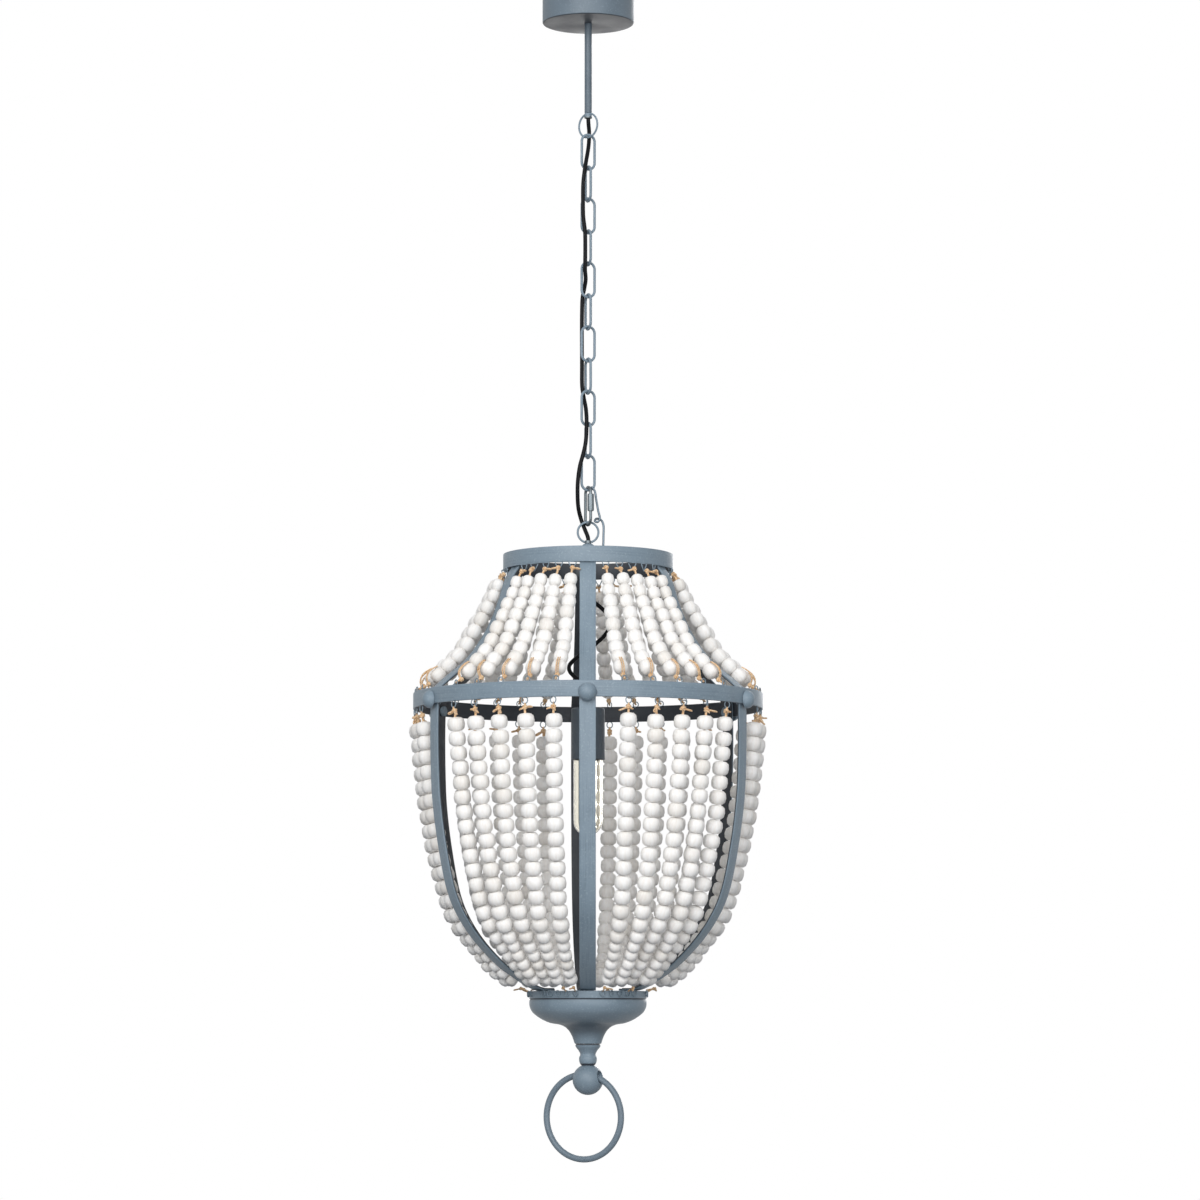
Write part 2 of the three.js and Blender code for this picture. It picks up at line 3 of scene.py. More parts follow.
import bmesh
import bpy
import numpy as np
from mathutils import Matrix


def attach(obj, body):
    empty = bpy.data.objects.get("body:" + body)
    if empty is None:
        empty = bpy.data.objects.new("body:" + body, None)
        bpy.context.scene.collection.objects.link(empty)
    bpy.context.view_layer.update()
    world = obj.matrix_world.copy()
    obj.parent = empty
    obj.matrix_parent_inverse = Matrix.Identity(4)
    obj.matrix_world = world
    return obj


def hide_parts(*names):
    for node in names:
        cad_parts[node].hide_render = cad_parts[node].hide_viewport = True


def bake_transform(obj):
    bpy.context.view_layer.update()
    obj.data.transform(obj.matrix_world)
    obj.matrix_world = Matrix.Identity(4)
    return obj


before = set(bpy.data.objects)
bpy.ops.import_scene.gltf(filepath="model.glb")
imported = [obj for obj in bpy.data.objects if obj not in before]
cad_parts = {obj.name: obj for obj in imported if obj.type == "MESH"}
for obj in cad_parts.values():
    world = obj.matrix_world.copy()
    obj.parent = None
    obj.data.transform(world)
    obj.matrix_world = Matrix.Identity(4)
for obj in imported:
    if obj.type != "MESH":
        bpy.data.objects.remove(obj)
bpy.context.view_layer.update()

bl_info = {
    "name": "Beaded chandelier",
    "version": (1, 0, 0),
    "blender": (4, 5, 0),
    "location": "3D View > Sidebar > Chandelier",
    "description": "Finishes a chandelier of painted flat bar with strands of limewashed wooden beads",
    "category": "Object",
}

MM = 0.001
DEG = np.pi / 180

# Sizes in millimetres and angles in degrees, most of them the solids' own, and counts

CORD_RADIUS = 2.1
STEM_RADIUS, STEM_BORE, STEM_TOP, STEM_BOTTOM = 3.7, 3.3, -3.3, -142.3
RIM_TOP, RIM_BOTTOM = -146.1, -147.6
STEM_LOOP = {"radius": 12.3, "wire": 1.0, "turn": -41, "height": -155.1}
CAGE_LOOP = {"radius": 10.4, "wire": 1.1, "turn": 0, "height": -571.1}
FERRULE_BORE, FERRULE_RADIUS, FERRULE_TOP, FERRULE_BOTTOM = 2.6, 3.3, -579.4, -582.7

CHAIN_TURN = 22
LINK_COUNT, LINK_HEIGHT, LINK_PITCH = 11, -182.6, 32.8
LINK_WIDTH, LINK_LENGTH, LINK_WIRE = 16.7, 38.3, 1.35
QUICK_WIDTH, QUICK_LENGTH, QUICK_WIRE, QUICK_HEIGHT = 17.2, 41.4, 1.5, -544.5
NUT_FLAT, NUT_BORE, NUT_OUT, NUT_TOP, NUT_BOTTOM, NUT_CHAMFER = 2.9, 1.8, 7.1, -532.75, -550.25, 0.9
TETHER_RADIUS, TETHER_MIDDLE = 1.15, -547

BAND_RADIUS, BAND_WALL, BAND_TOP = 85.4, 2, -593.8
HOOP_RADIUS, HOOP_WALL, HOOP_TOP = 175.2, 3, -734.2
BAR_WIDTH, BAR_THICKNESS = 16, 2.5
RIVET_HEAD, RIVET_RISE, RIVET_FACE, RIVET_HEIGHT = 9, 8, 175.5, -745.8
RIB_AZIMUTHS = np.array([-90, -27, 33, 93.4, 152, 208])

STRANDS_IN_PANEL = 5
STRAND_SHARE = 0.153
UPPER_ASIDE, LOWER_ASIDE = [-0.3, 1.0, 1.0, 1.0, 1.0, 1.8], 1.0
BEAD_ROWS, BEAD_COLUMNS, TWINE_SIDES = 7, 12, 5

FLEX_TURNS, FLEX_START, FLEX_ACROSS, FLEX_DEEP, FLEX_BACK, FLEX_EASE = 1.27, -182, 22, 14, 8.8, 0.3
FLEX_NIPPLE, FLEX_TOP, FLEX_BOTTOM, FLEX_HOLDER = -606.3, -613, -740, -749.5

BULB_RADIUS, BULB_WALL, BULB_DOME = 14.6, 0.8, -861.7
TIE_BORE = 3.3
DISC_RADIUS, DISC_TOP, DISC_BOTTOM = 58.3, -1031.2, -1039.0
BOWL_RIM, BOWL_BOTTOM, NECK_TOP, NECK_BOTTOM = -1039.05, -1083.4, -1083.45, -1103.6
BALL_RADIUS, BALL_HEIGHT = 15.3, -1118.7
RING_RADIUS, RING_WIRE, RING_HEIGHT, RING_TURN, RING_TIP, RING_HOLE = 41.9, 3.15, -1114.0, -28, 6.6, 3.85

# Sections of turned pieces, as radius and height

CANOPY_CUP = [(4, -50), (46.5, -50), (46.5, 0), (45, 0), (45, -48.5), (4, -48.5)]
STEM_COLLAR = [(2.55, -146.8), (3.7, -146.8), (3.7, -142.6), (3.0, -142.6), (3.0, -130.6), (2.55, -130.6)]
CAGE_COLLAR = [(2.6, -596.7), (6.5, -596.7), (6.5, -584.8), (4.5, -582.8), (2.6, -582.8)]
RIVET_SHANK = [(0, 165.5), (5, 165.5), (5, 168.3), (2.7, 168.3), (2.7, RIVET_FACE)]
SOCKET_CUP = [(4.3, -749.8), (15.7, -749.8), (15.7, -800.3), (16.9, -800.3), (16.9, -748.6), (4.3, -748.6)]
BULB_NECK = [(12.2, -785.3), (12.6, -789), (14.3, -796), (14.6, -803)]
FILAMENT_POST = [(0.01, -785.6), (3.6, -785.6), (1.7, -795), (1.5, -838), (2.4, -841), (0.01, -842)]

# Measured lines, as radius and height

RIB_LINE = [
    (81.1, -595.2), (81.1, -610), (85.4, -616.5), (89.8, -625), (96.0, -644), (104.3, -664), (116.3, -685),
    (132.5, -705), (150.0, -719.5), (162.5, -729.5), (168.8, -735.5), (170.3, -741), (170.3, -751),
    (170.6, -770), (170.2, -803), (168.4, -841), (161.8, -888), (151.0, -935), (140.0, -958), (122.8, -981),
    (97.4, -1005), (80.0, -1016.6), (64.0, -1025.6), (54.0, -1029.2), (42.0, -1029.6),
]

UPPER_STRAND = [
    (88.8, -614.2), (92.7, -622.8), (102.7, -645.8), (115.7, -668.2), (128.7, -691.6), (148.4, -712.2),
    (161.4, -724.9),
]

LOWER_STRAND = [
    (171.2, -764.6), (167.6, -801.3), (160.4, -858.3), (148.3, -915.2), (134.2, -958), (118.2, -981.9),
    (94.2, -1009.7), (75.6, -1023.6),
]

BOWL_OUTSIDE = [
    (57.6, BOWL_RIM), (58.2, -1040.0), (58.3, -1045.5), (55.8, -1051.4), (51.5, -1055.4), (45.0, -1059.6),
    (37.0, -1062.8), (28.0, -1064.4), (23.2, -1066.4), (19.4, -1069.8), (16.0, -1075.4), (13.3, -1083.0),
]

BOWL_INSIDE = [(TIE_BORE, BOWL_BOTTOM), (TIE_BORE, -1067.4), (38, -1058.4), (55.2, -1047.4), (55.2, BOWL_RIM)]

NECK_OUTSIDE = [
    (12.0, NECK_TOP), (12.0, -1084.2), (12.6, -1084.8), (12.1, -1086.4), (9.6, -1089.6), (7.8, -1093.0),
    (7.8, -1094.8), (8.7, -1096.4), (8.7, -1100.6), (8.0, -1102.6), (6.8, -1104.6),
]

# Routes, as points, and the chain's bodies with the heights of the pins between them

SUPPLY_ROUTE = [
    (0, 0, -8), (0, 0, -143.5), (0.2, 1.0, -151.5), (1.0, 5.0, -161.5), (0.8, 5.3, -170.6),
    (-0.2, 1.6, -180.5), (-2.0, -4.6, -192.5), (-3.6, -6.8, -203), (-5.0, -6.7, -216),
    (-5.2, -6.7, -234), (-4.9, -6.7, -250), (-3.2, -6.9, -265), (-2.9, -6.9, -282), (-3.0, -6.6, -296),
    (-3.1, -4.6, -304.5), (-2.5, -1.0, -313.5), (-3.8, 2.4, -322), (-5.6, 3.3, -331), (-6.2, 3.2, -345),
    (-6.2, 3.2, -400), (-6.0, 3.3, -423), (-4.5, 3.0, -433), (-2.4, -1.0, -444.5), (-1.6, -4.8, -453.5),
    (-1.5, -6.2, -462), (-1.8, -6.5, -473), (-2.8, -6.7, -483), (-5.2, -6.7, -493.5),
    (-8.2, -6.0, -504.5), (-10.2, -4.8, -519), (-10.6, -2.6, -532), (-9.8, 1.0, -546),
    (-7.0, 4.4, -557.6), (-3.2, 2.4, -568), (0, 0.1, -577), (0, 0, -590), (0, 0, -605.8),
]

TETHER_ROUTE = [
    (1, 0, -526.5), (4, -1.5, -525.8), (6.5, -2, -529), (8.5, -2.5, -540), (10.3, -2.5, -550),
    (11.8, -2.5, -557.5), (9.5, -2, -560.8), (6.8, -1.5, -559.8), (8.5, 0, -557.2), (13, 1, -558.4),
    (15.3, 0, -563), (15.5, 0, -575), (15, 0, -586), (13, 1, -594), (12, 2, -596.6),
]

CHAIN_PINS = [-167.4, *(-200.35 - LINK_PITCH * i for i in range(LINK_COUNT)), -563.7]

# Where the strands are tied, as radius and height

BAND_EYE, BAND_HOOK, UPPER_KNOT, UPPER_FIRST = (85.0, -611.6), (84.9, -612.4), (88.4, -616.6), (92.4, -623.5)
HOOP_EYE, UPPER_END, UPPER_TAIL = (172.6, -732.4), (166.0, -728.6), (158.0, -710.5)
HOOP_HOOK, LOWER_KNOT, LOWER_FIRST = (173.6, -753.0), (172.4, -759.6), (171.6, -766.0)
DISC_HOOK, DISC_EYE, LOWER_END = (59.6, -1034.0), (60.2, -1031.6), (67.0, -1028.6)

# Shapes


def smooth_line(points, count):
    """A line through the points: each stretch is a cubic whose end slopes come from the neighbouring
    points, spaced by the square root of their distance; resampled to count points evenly along it."""
    p = np.asarray(points, float)
    p = np.vstack([2 * p[0] - p[1], p, 2 * p[-1] - p[-2]])
    a, b, c, d = p[:-3], p[1:-2], p[2:-1], p[3:]
    ab, bc, cd = (np.sqrt(np.linalg.norm(v, axis=1))[:, None] for v in (b - a, c - b, d - c))
    start = bc * ((b - a) / ab - (c - a) / (ab + bc) + (c - b) / bc)
    end = bc * ((c - b) / bc - (d - b) / (bc + cd) + (d - c) / cd)
    fine = 24  # points in each stretch
    t = np.linspace(0, 1, fine, endpoint=False)[None, :, None]
    b, c, start, end = (v[:, None] for v in (b, c, start, end))
    dense = (2 * t**3 - 3 * t**2 + 1) * b + (t**3 - 2 * t**2 + t) * start
    dense = dense + (3 * t**2 - 2 * t**3) * c + (t**3 - t**2) * end
    dense = np.vstack([dense.reshape(-1, p.shape[1]), p[-2]])
    along = np.concatenate([[0], np.cumsum(np.linalg.norm(np.diff(dense, axis=0), axis=1))])
    wanted = np.linspace(0, along[-1], count)
    return np.stack([np.interp(wanted, along, dense[:, k]) for k in range(dense.shape[1])], 1)


def line_length(line):
    """The summed length of a line's stretches."""
    return float(np.linalg.norm(np.diff(line, axis=0), axis=1).sum())


def unit(vectors):
    """Vectors made 1 long."""
    return vectors / np.linalg.norm(vectors, axis=-1, keepdims=True)


def angles(count):
    """Angles evenly round a circle."""
    return np.linspace(0, 2 * np.pi, count, endpoint=False)


def smooth_step(share, low, high):
    """0 up to low, 1 from high, and 3t^2 - 2t^3 between them."""
    t = np.clip((share - low) / (high - low), 0, 1)
    return t * t * (3 - 2 * t)


def around(place, azimuths):
    """Points at a place of radius and height, one at each azimuth in degrees."""
    a = np.asarray(azimuths) * DEG
    return np.stack([place[0] * np.cos(a), place[0] * np.sin(a), place[1] + 0 * a], -1)


def rounded(corners, radius, steps=4):
    """A closed outline with each corner replaced by a parabola arc that starts and ends radius away
    from it, or at 0.45 of the shorter side: (1-t)^2 A + 2t(1-t) P + t^2 B."""
    p = np.asarray(corners, float)
    before, after = np.roll(p, 1, 0) - p, np.roll(p, -1, 0) - p
    lb, la = np.linalg.norm(before, axis=1), np.linalg.norm(after, axis=1)
    cut = np.minimum(radius, 0.45 * np.minimum(lb, la))[:, None]
    a, b = p + before / lb[:, None] * cut, p + after / la[:, None] * cut
    t = np.linspace(0, 1, steps + 1)[None, :, None]
    arcs = (1 - t) ** 2 * a[:, None] + 2 * t * (1 - t) * p[:, None] + t**2 * b[:, None]
    return arcs.reshape(-1, 2)


def turned_points(profile, segments):
    """A profile of radius and height spun about the upright axis: (r cos a, r sin a, z)."""
    a = angles(segments)[:, None]
    r, z = np.asarray(profile, float).T
    return np.stack([r * np.cos(a), r * np.sin(a), z + 0 * a], -1)


def ring_points(paths, radius, sides, up, closed=False):
    """Round tubes along paths, shape (tubes, points, 3): about each point stands a circle of that
    radius, in the plane of n = tangent x up and b = n x tangent: p + r (n cos a + b sin a)."""
    paths = np.asarray(paths, float)
    if closed:
        tangent = np.roll(paths, -1, 1) - np.roll(paths, 1, 1)
    else:
        tangent = np.gradient(paths, axis=1)
    tangent = unit(tangent)
    n = unit(np.cross(tangent, np.broadcast_to(up, paths.shape)))
    b = np.cross(n, tangent)
    a = angles(sides)[:, None]
    return paths[:, :, None] + radius * (n[:, :, None] * np.cos(a) + b[:, :, None] * np.sin(a))


def grid(points, wrap=(True, True), caps=False):
    """Vertices, faces and face-corner UVs of a grid of points. wrap closes its rows and its columns
    on themselves, and caps close the first and the last row with one face each."""
    rows, columns = points.shape[:2]
    r, c = rows - (not wrap[0]), columns - (not wrap[1])
    i, j = (v.ravel() for v in np.meshgrid(np.arange(r), np.arange(c), indexing="ij"))
    corners = [(i, j), (i + 1, j), (i + 1, j + 1), (i, j + 1)]
    faces = np.stack([(u % rows) * columns + v % columns for u, v in corners], -1).tolist()
    uv = np.stack([np.stack([v / c, u / r], -1) for u, v in corners], 1).reshape(-1, 2)
    if caps:
        faces += [list(range(columns))[::-1], list(range((rows - 1) * columns, rows * columns))]
        uv = np.vstack([uv, np.zeros((columns, 2)), np.ones((columns, 2))])
    return points.reshape(-1, 3), faces, uv


def tube(points):
    """One open tube's rings as a shape with both ends closed."""
    return grid(points, (False, True), True)


def together(*shapes):
    """Shapes put into one: each one's faces count on from the vertices before it."""
    starts = np.cumsum([0] + [len(s[0]) for s in shapes])
    faces = [[v + int(at) for v in f] for s, at in zip(shapes, starts) for f in s[1]]
    return np.vstack([s[0] for s in shapes]), faces, np.vstack([s[2] for s in shapes])


def grids(blocks, wrap=(True, True), caps=False):
    """Several equal grids, shape (copies, rows, columns, 3), as one set of vertices, faces and UVs."""
    return together(*(grid(block, wrap, caps) for block in blocks))


def turned_about_z(points, degrees):
    """Points turned about the upright axis."""
    c, s = np.cos(degrees * DEG), np.sin(degrees * DEG)
    return np.asarray(points) @ np.array([[c, s, 0], [-s, c, 0], [0, 0, 1]])


def lathe(profile, segments=64):
    """A closed profile spun into a solid."""
    return grid(turned_points(profile, segments))


def sleeve(bore, radius, bottom, top, corner, steps, segments):
    """A round sleeve: a rectangle of radius and height, its corners rounded, spun into a solid."""
    section = [(bore, bottom), (radius, bottom), (radius, top), (bore, top)]
    return lathe(rounded(section, corner, steps), segments)


def stadium(width, length, wire, sides, turn, height):
    """A wire link: half circles of radius width / 2 - wire joined by straights, with a round section,
    upright in the X-Z plane, then turned about Z and set at that height."""
    a = angles(48)
    radius, pull = width / 2 - wire, (length - width) / 2
    upper = np.where((a >= 0) & (a < np.pi), 1, -1)
    path = np.stack([radius * np.cos(a), 0 * a, radius * np.sin(a) + upper * pull + height], -1)
    return grid(turned_about_z(ring_points(path[None], wire, sides, [0, 1, 0], closed=True)[0], turn))


def torus(radius, wire, segments, sides, turn, height):
    """A ring of round wire, upright in the X-Z plane, turned about Z and set at that height."""
    a = angles(segments)
    path = np.stack([radius * np.cos(a), 0 * a, radius * np.sin(a) + height], -1)
    return grid(turned_about_z(ring_points(path[None], wire, sides, [0, 1, 0], closed=True)[0], turn))


def hexagon_nut():
    """The quick link's nut: r = flat / cos of the angle from the nearest flat's middle, and at each
    end no more than a chamfer allows, beside the link's middle."""
    a = angles(48)[:, None]
    corner = NUT_FLAT / np.cos(30 * DEG)
    hexagon = NUT_FLAT / np.cos((a + np.pi / 6) % (np.pi / 3) - np.pi / 6)
    z = [NUT_BOTTOM, NUT_BOTTOM, NUT_BOTTOM + NUT_CHAMFER, NUT_TOP - NUT_CHAMFER, NUT_TOP, NUT_TOP]
    limit = [NUT_BORE, NUT_FLAT * 0.98, corner, corner, NUT_FLAT * 0.98, NUT_BORE]
    r = np.minimum(hexagon, limit)
    nut = np.stack([r * np.cos(a), r * np.sin(a) - NUT_OUT, z + 0 * a], -1)
    return grid(turned_about_z(nut, CHAIN_TURN))


def flex_route():
    """The slack flex in the cage: (x, y) goes round FLEX_TURNS times, opened and drawn in again by
    smooth steps over the first and the last share FLEX_EASE, while z falls evenly."""
    t = np.linspace(0, 1, 23)
    opened = smooth_step(t, 0, FLEX_EASE) * smooth_step(1 - t, 0, FLEX_EASE)
    a = (FLEX_START + 360 * FLEX_TURNS * t) * DEG
    x = opened * FLEX_ACROSS * np.cos(a)
    y = opened * (FLEX_BACK - FLEX_DEEP + FLEX_DEEP * np.sin(a))
    loops = np.stack([x, y, FLEX_TOP + (FLEX_BOTTOM - FLEX_TOP) * t], -1)
    return np.vstack([[0, 0, FLEX_NIPPLE], loops, [0, 0, FLEX_HOLDER]])


def hung(points):
    """Points about the ring's hole, tipped in the ring's own plane, set in the ball and turned."""
    c, s = np.cos(RING_TIP * DEG), np.sin(RING_TIP * DEG)
    tipped = np.asarray(points) @ np.array([[c, 0, -s], [0, 1, 0], [s, 0, c]])
    return turned_about_z(tipped + [0, 0, RING_HEIGHT], RING_TURN)


# Beads, twine and hooks


def panels():
    """For each panel: its middle azimuth and the step between its strands, in degrees."""
    after = np.append(RIB_AZIMUTHS[1:], RIB_AZIMUTHS[0] + 360)
    return (RIB_AZIMUTHS + after) / 2, STRAND_SHARE * (after - RIB_AZIMUTHS)


def strand_line(line, middle, step, crowd, k):
    """The centre line of strand k of a panel, which draws towards the panel's middle by crowd."""
    side = (k - (STRANDS_IN_PANEL - 1) / 2) * step
    n = np.arange(len(line))
    a = (middle + side * (1 - crowd * n / (len(line) - 1))) * DEG
    r, z = np.array(line, float).T
    return smooth_line(np.stack([r * np.cos(a), r * np.sin(a), z], -1), 200)


def bead_shape(power=2.9):
    """A bead of width 1 and height 1: |r|^p + |z|^p = 1, a sphere drawn out towards a drum."""
    a = np.linspace(0.02, np.pi - 0.02, BEAD_ROWS)[:, None]
    b = angles(BEAD_COLUMNS)[None]
    r = np.abs(np.sin(a)) ** (2 / power)
    z = np.sign(np.cos(a)) * np.abs(np.cos(a)) ** (2 / power)
    return 0.5 * np.stack([r * np.cos(b), r * np.sin(b), z + 0 * b], -1)


def bead_ends(shape):
    """The beads' grids with a face over each end of their bores."""
    vertices, faces, uv = shape
    size = BEAD_ROWS * BEAD_COLUMNS
    count = len(vertices) // size
    first = np.arange(count)[:, None] * size + np.arange(BEAD_COLUMNS)
    last = first + size - BEAD_COLUMNS
    faces = faces + first[:, ::-1].tolist() + last.tolist()
    extra = np.tile([0.5, 0.0], (2 * count * BEAD_COLUMNS, 1))
    return vertices, faces, np.vstack([uv, extra])


def beads_along(line, start, end, size, graded, push, random):
    """Beads threaded on a line between start and end millimetres from its ends, touching: graded
    gives their size along it as a share of width and height, so the count of beads up to a place is
    the integral of 1 / (height x graded). Each bead's bore follows the line, and push moves it."""
    width, height = size
    length = line_length(line)
    travel = np.linspace(start, length - end, 400)
    step = travel[1] - travel[0]
    passed = np.concatenate([[0], np.cumsum(step / (height * graded(travel[1:] / length)))])
    count = round(passed[-1])
    along = np.interp((np.arange(count) + 0.5) * passed[-1] / count, passed, travel)
    share = graded(along / length)
    s = np.linspace(0, length, len(line))
    tangent = np.gradient(line, axis=0)
    centre = np.stack([np.interp(along, s, line[:, k]) for k in range(3)], 1) + push(along / length)
    t = np.stack([np.interp(along, s, tangent[:, k]) for k in range(3)], 1)
    t = unit(t + random.normal(0, 0.015, t.shape) * np.linalg.norm(t, axis=1, keepdims=True))
    n = unit(np.cross(t, [0.3, 0.9, 0.2]))
    b = np.cross(t, n)
    spin = random.uniform(0, 2 * np.pi, count)[:, None]
    n, b = n * np.cos(spin) + b * np.sin(spin), b * np.cos(spin) - n * np.sin(spin)
    wide = (width * share * (1 + random.normal(0, 0.015, count)))[:, None, None, None]
    tall = (height * share * passed[-1] / count)[:, None, None, None]
    base = bead_shape()
    points = base[None, ..., 0:1] * n[:, None, None] + base[None, ..., 1:2] * b[:, None, None]
    points = points * wide + base[None, ..., 2:3] * t[:, None, None] * tall
    return points + centre[:, None, None]


def twine_bits(starts, ends, sag, radius, steps=6):
    """Short twines from starts to ends, bowed by the vector sag: p = a + (b - a) t + 4 t (1 - t) sag."""
    t = np.linspace(0, 1, steps)[None, :, None]
    a, b = np.asarray(starts)[:, None], np.asarray(ends)[:, None]
    paths = a + (b - a) * t + 4 * t * (1 - t) * np.asarray(sag)[:, None]
    across = np.cross((b - a)[:, 0], np.asarray(sag) + [0.01, 0.02, 0.03])
    return grids(ring_points(paths, radius, TWINE_SIDES, across[:, None]), (False, True), True)


def bows(starts, ends, width, radius):
    """Loops of twine that run out to ends and back: p = a + (b - a) sin(pi t) + w sin(2 pi t) / 2,
    where w is width long, across the way out."""
    t = np.linspace(0.04, 0.96, 11)[None, :, None]
    a, b = np.asarray(starts)[:, None], np.asarray(ends)[:, None]
    across = 0.5 * width * unit(np.cross(b - a, [0.31, 0.17, 0.93]))
    paths = a + (b - a) * np.sin(np.pi * t) + across * np.sin(2 * np.pi * t)
    return grids(ring_points(paths, radius, TWINE_SIDES, np.cross(b - a, across)), (False, True), True)


def knots(centres, axes, radius, twine, random):
    """Overhand knots: three small twine rings about each centre, one round the axis above another
    and the third slanted across them."""
    a = angles(9)[None, :, None]
    axes = unit(axes)
    u = unit(np.cross(axes, random.normal(0, 1, axes.shape)))
    v = np.cross(axes, u)
    rings = []
    for lift, lean, size in ((0.75, 0.25, 1.0), (-0.7, -0.2, 1.1), (0.0, 1.2, 0.9)):
        bent = v * np.cos(lean) + axes * np.sin(lean)
        up = np.cross(u, bent)
        middle = centres + axes * lift * twine
        paths = middle[:, None] + size * radius * (u[:, None] * np.cos(a) + bent[:, None] * np.sin(a))
        rings.append(grids(ring_points(paths, twine, TWINE_SIDES, up[:, None], closed=True)))
    return together(*rings)


def hooks(centres, azimuths, radius, wire, random, corners=0.0):
    """Small wire rings at the centres, upright and each turned a little off the tangent of its hoop:
    down by cos a + c cos 2a and across by sin a - c sin 2a, which c makes a triangle, point down."""
    a = angles(15)[None, :, None]
    turn = (azimuths + 90 + random.normal(0, 14, len(azimuths))) * DEG
    u = np.stack([np.cos(turn), np.sin(turn), 0 * turn], -1)[:, None]
    down = np.array([0, 0, -1.1])
    ring = down * (np.cos(a) + corners * np.cos(2 * a)) + u * (np.sin(a) - corners * np.sin(2 * a))
    up = np.cross(u, down)
    return grids(ring_points(centres[:, None] + radius * ring, wire, 6, up, closed=True))


def upper_ties(azimuths, thread, wire, random):
    """The upper tier's twine and hooks under the band and on the hoop: knots, ties, bows, and two
    strands of twine back over the last bead."""
    tops, ends = around(BAND_EYE, azimuths), around(HOOP_EYE, azimuths)
    knot_top = around(UPPER_KNOT, azimuths) + random.normal(0, 0.5, tops.shape)
    knot_end = around(UPPER_END, azimuths)
    rings = [
        hooks(around(BAND_HOOK, azimuths), azimuths, 3.4, wire, random, 0.28),
        hooks(ends, azimuths, 2.7, wire, random),
    ]
    twines = [
        knots(knot_top, knot_top - tops, 1.4, thread, random),
        knots(knot_end, ends - knot_end, 1.4, thread, random),
        twine_bits(knot_top, around(UPPER_FIRST, azimuths), random.normal(0, 0.2, tops.shape), thread),
        twine_bits(knot_end, ends, random.normal(0, 0.3, tops.shape), thread),
    ]
    side = around((1, 0), azimuths + 90)
    reach = random.choice([-1, 1], (len(tops), 1)) * random.uniform(3, 8, (len(tops), 1))
    loose = knot_top + side * reach + around((2.2, -1), azimuths) + random.normal(0, 1, tops.shape)
    twines.append(bows(knot_top, loose, 2.6, thread * 0.8))
    loose = around(UPPER_TAIL, azimuths) + side * random.normal(0, 1.8, (len(tops), 1))
    over = around((5.6, 0.6), azimuths) + random.normal(0, 0.4, tops.shape)
    for way in (side, -side):
        twines.append(twine_bits(knot_end + way, loose + way, over, thread * 0.6, steps=8))
    return twines, rings


def lower_ties(azimuths, middle, thread, wire, random):
    """The lower tier's twine and hooks under the hoop and on the disc's rim, where the strands have
    drawn together and two of them show a bow."""
    drawn = middle + (azimuths - middle) * 0.95
    tops, knot_top = around(HOOP_HOOK, azimuths), around(LOWER_KNOT, azimuths)
    rings = [
        hooks(tops, azimuths, 3.0, wire, random),
        hooks(around(DISC_HOOK, drawn), drawn, 2.6, wire, random),
    ]
    first = around(LOWER_FIRST, azimuths)
    twines = [
        knots(knot_top, knot_top - tops, 1.7, thread, random),
        twine_bits(tops + [0, 0, -2.6], knot_top, random.normal(0, 0.3, tops.shape), thread),
        twine_bits(knot_top, first, random.normal(0, 0.2, tops.shape), thread * 1.1),
    ]
    side = around((1, 0), azimuths + 90)
    for turn in (-1, 1):
        reach = turn * random.uniform(2, 8, (len(tops), 1))
        loose = knot_top + side * reach + around((3, -2.5), azimuths) + random.normal(0, 1.4, tops.shape)
        twines.append(bows(knot_top, loose, 2.4, thread * 0.8))
    seen = drawn[random.permutation(len(drawn))[:2]]
    ends, knot_end = around(DISC_EYE, seen), around(LOWER_END, seen)
    twines.append(knots(knot_end, ends - knot_end, 0.9, thread * 0.7, random))
    twines.append(twine_bits(knot_end, ends, random.normal(0, 0.3, ends.shape), thread * 0.7))
    loose = knot_end + random.normal(0, 1, ends.shape) * [3, 3, 1] + [0, 0, -1.5]
    twines.append(bows(knot_end, loose, 1.6, thread * 0.7))
    return twines, rings


# Materials

FINE = {"Detail": 2.0, "Roughness": 0.55}  # settings of a fine noise


def linear(code):
    """An sRGB colour code such as "8a9dab" as linear red, green, blue and 1."""
    value = np.array([int(code[i : i + 2], 16) for i in (0, 2, 4)]) / 255
    out = np.where(value <= 0.04045, value / 12.92, ((value + 0.055) / 1.055) ** 2.4)
    return (*out.tolist(), 1.0)


def per(millimetres):
    """The scale of a pattern whose features are about that many millimetres apart."""
    return 1 / (millimetres * MM)


def add_node(tree, kind, inputs=None, stops=(), **settings):
    """Adds a shader node with its settings and the stops of its ramp, sets its inputs to values or
    links them to sockets, and returns its outputs."""
    node = tree.nodes.new("ShaderNode" + kind)
    for key, value in settings.items():
        setattr(node, key, value)
    for key, value in (inputs or {}).items():
        if isinstance(value, bpy.types.NodeSocket):
            tree.links.new(value, node.inputs[key])
        else:
            node.inputs[key].default_value = value
    for n, (position, colour) in enumerate(stops):
        node.color_ramp.elements[n].position = position
        node.color_ramp.elements[n].color = colour
    return node.outputs


def new_material(name):
    """An empty node material, add_node for its tree, and the place on the object in metres."""
    material = bpy.data.materials.get(name) or bpy.data.materials.new(name)
    material.use_nodes = True
    material.node_tree.nodes.clear()
    add = partial(add_node, material.node_tree)
    return material, add, add("TexCoord")["Object"]


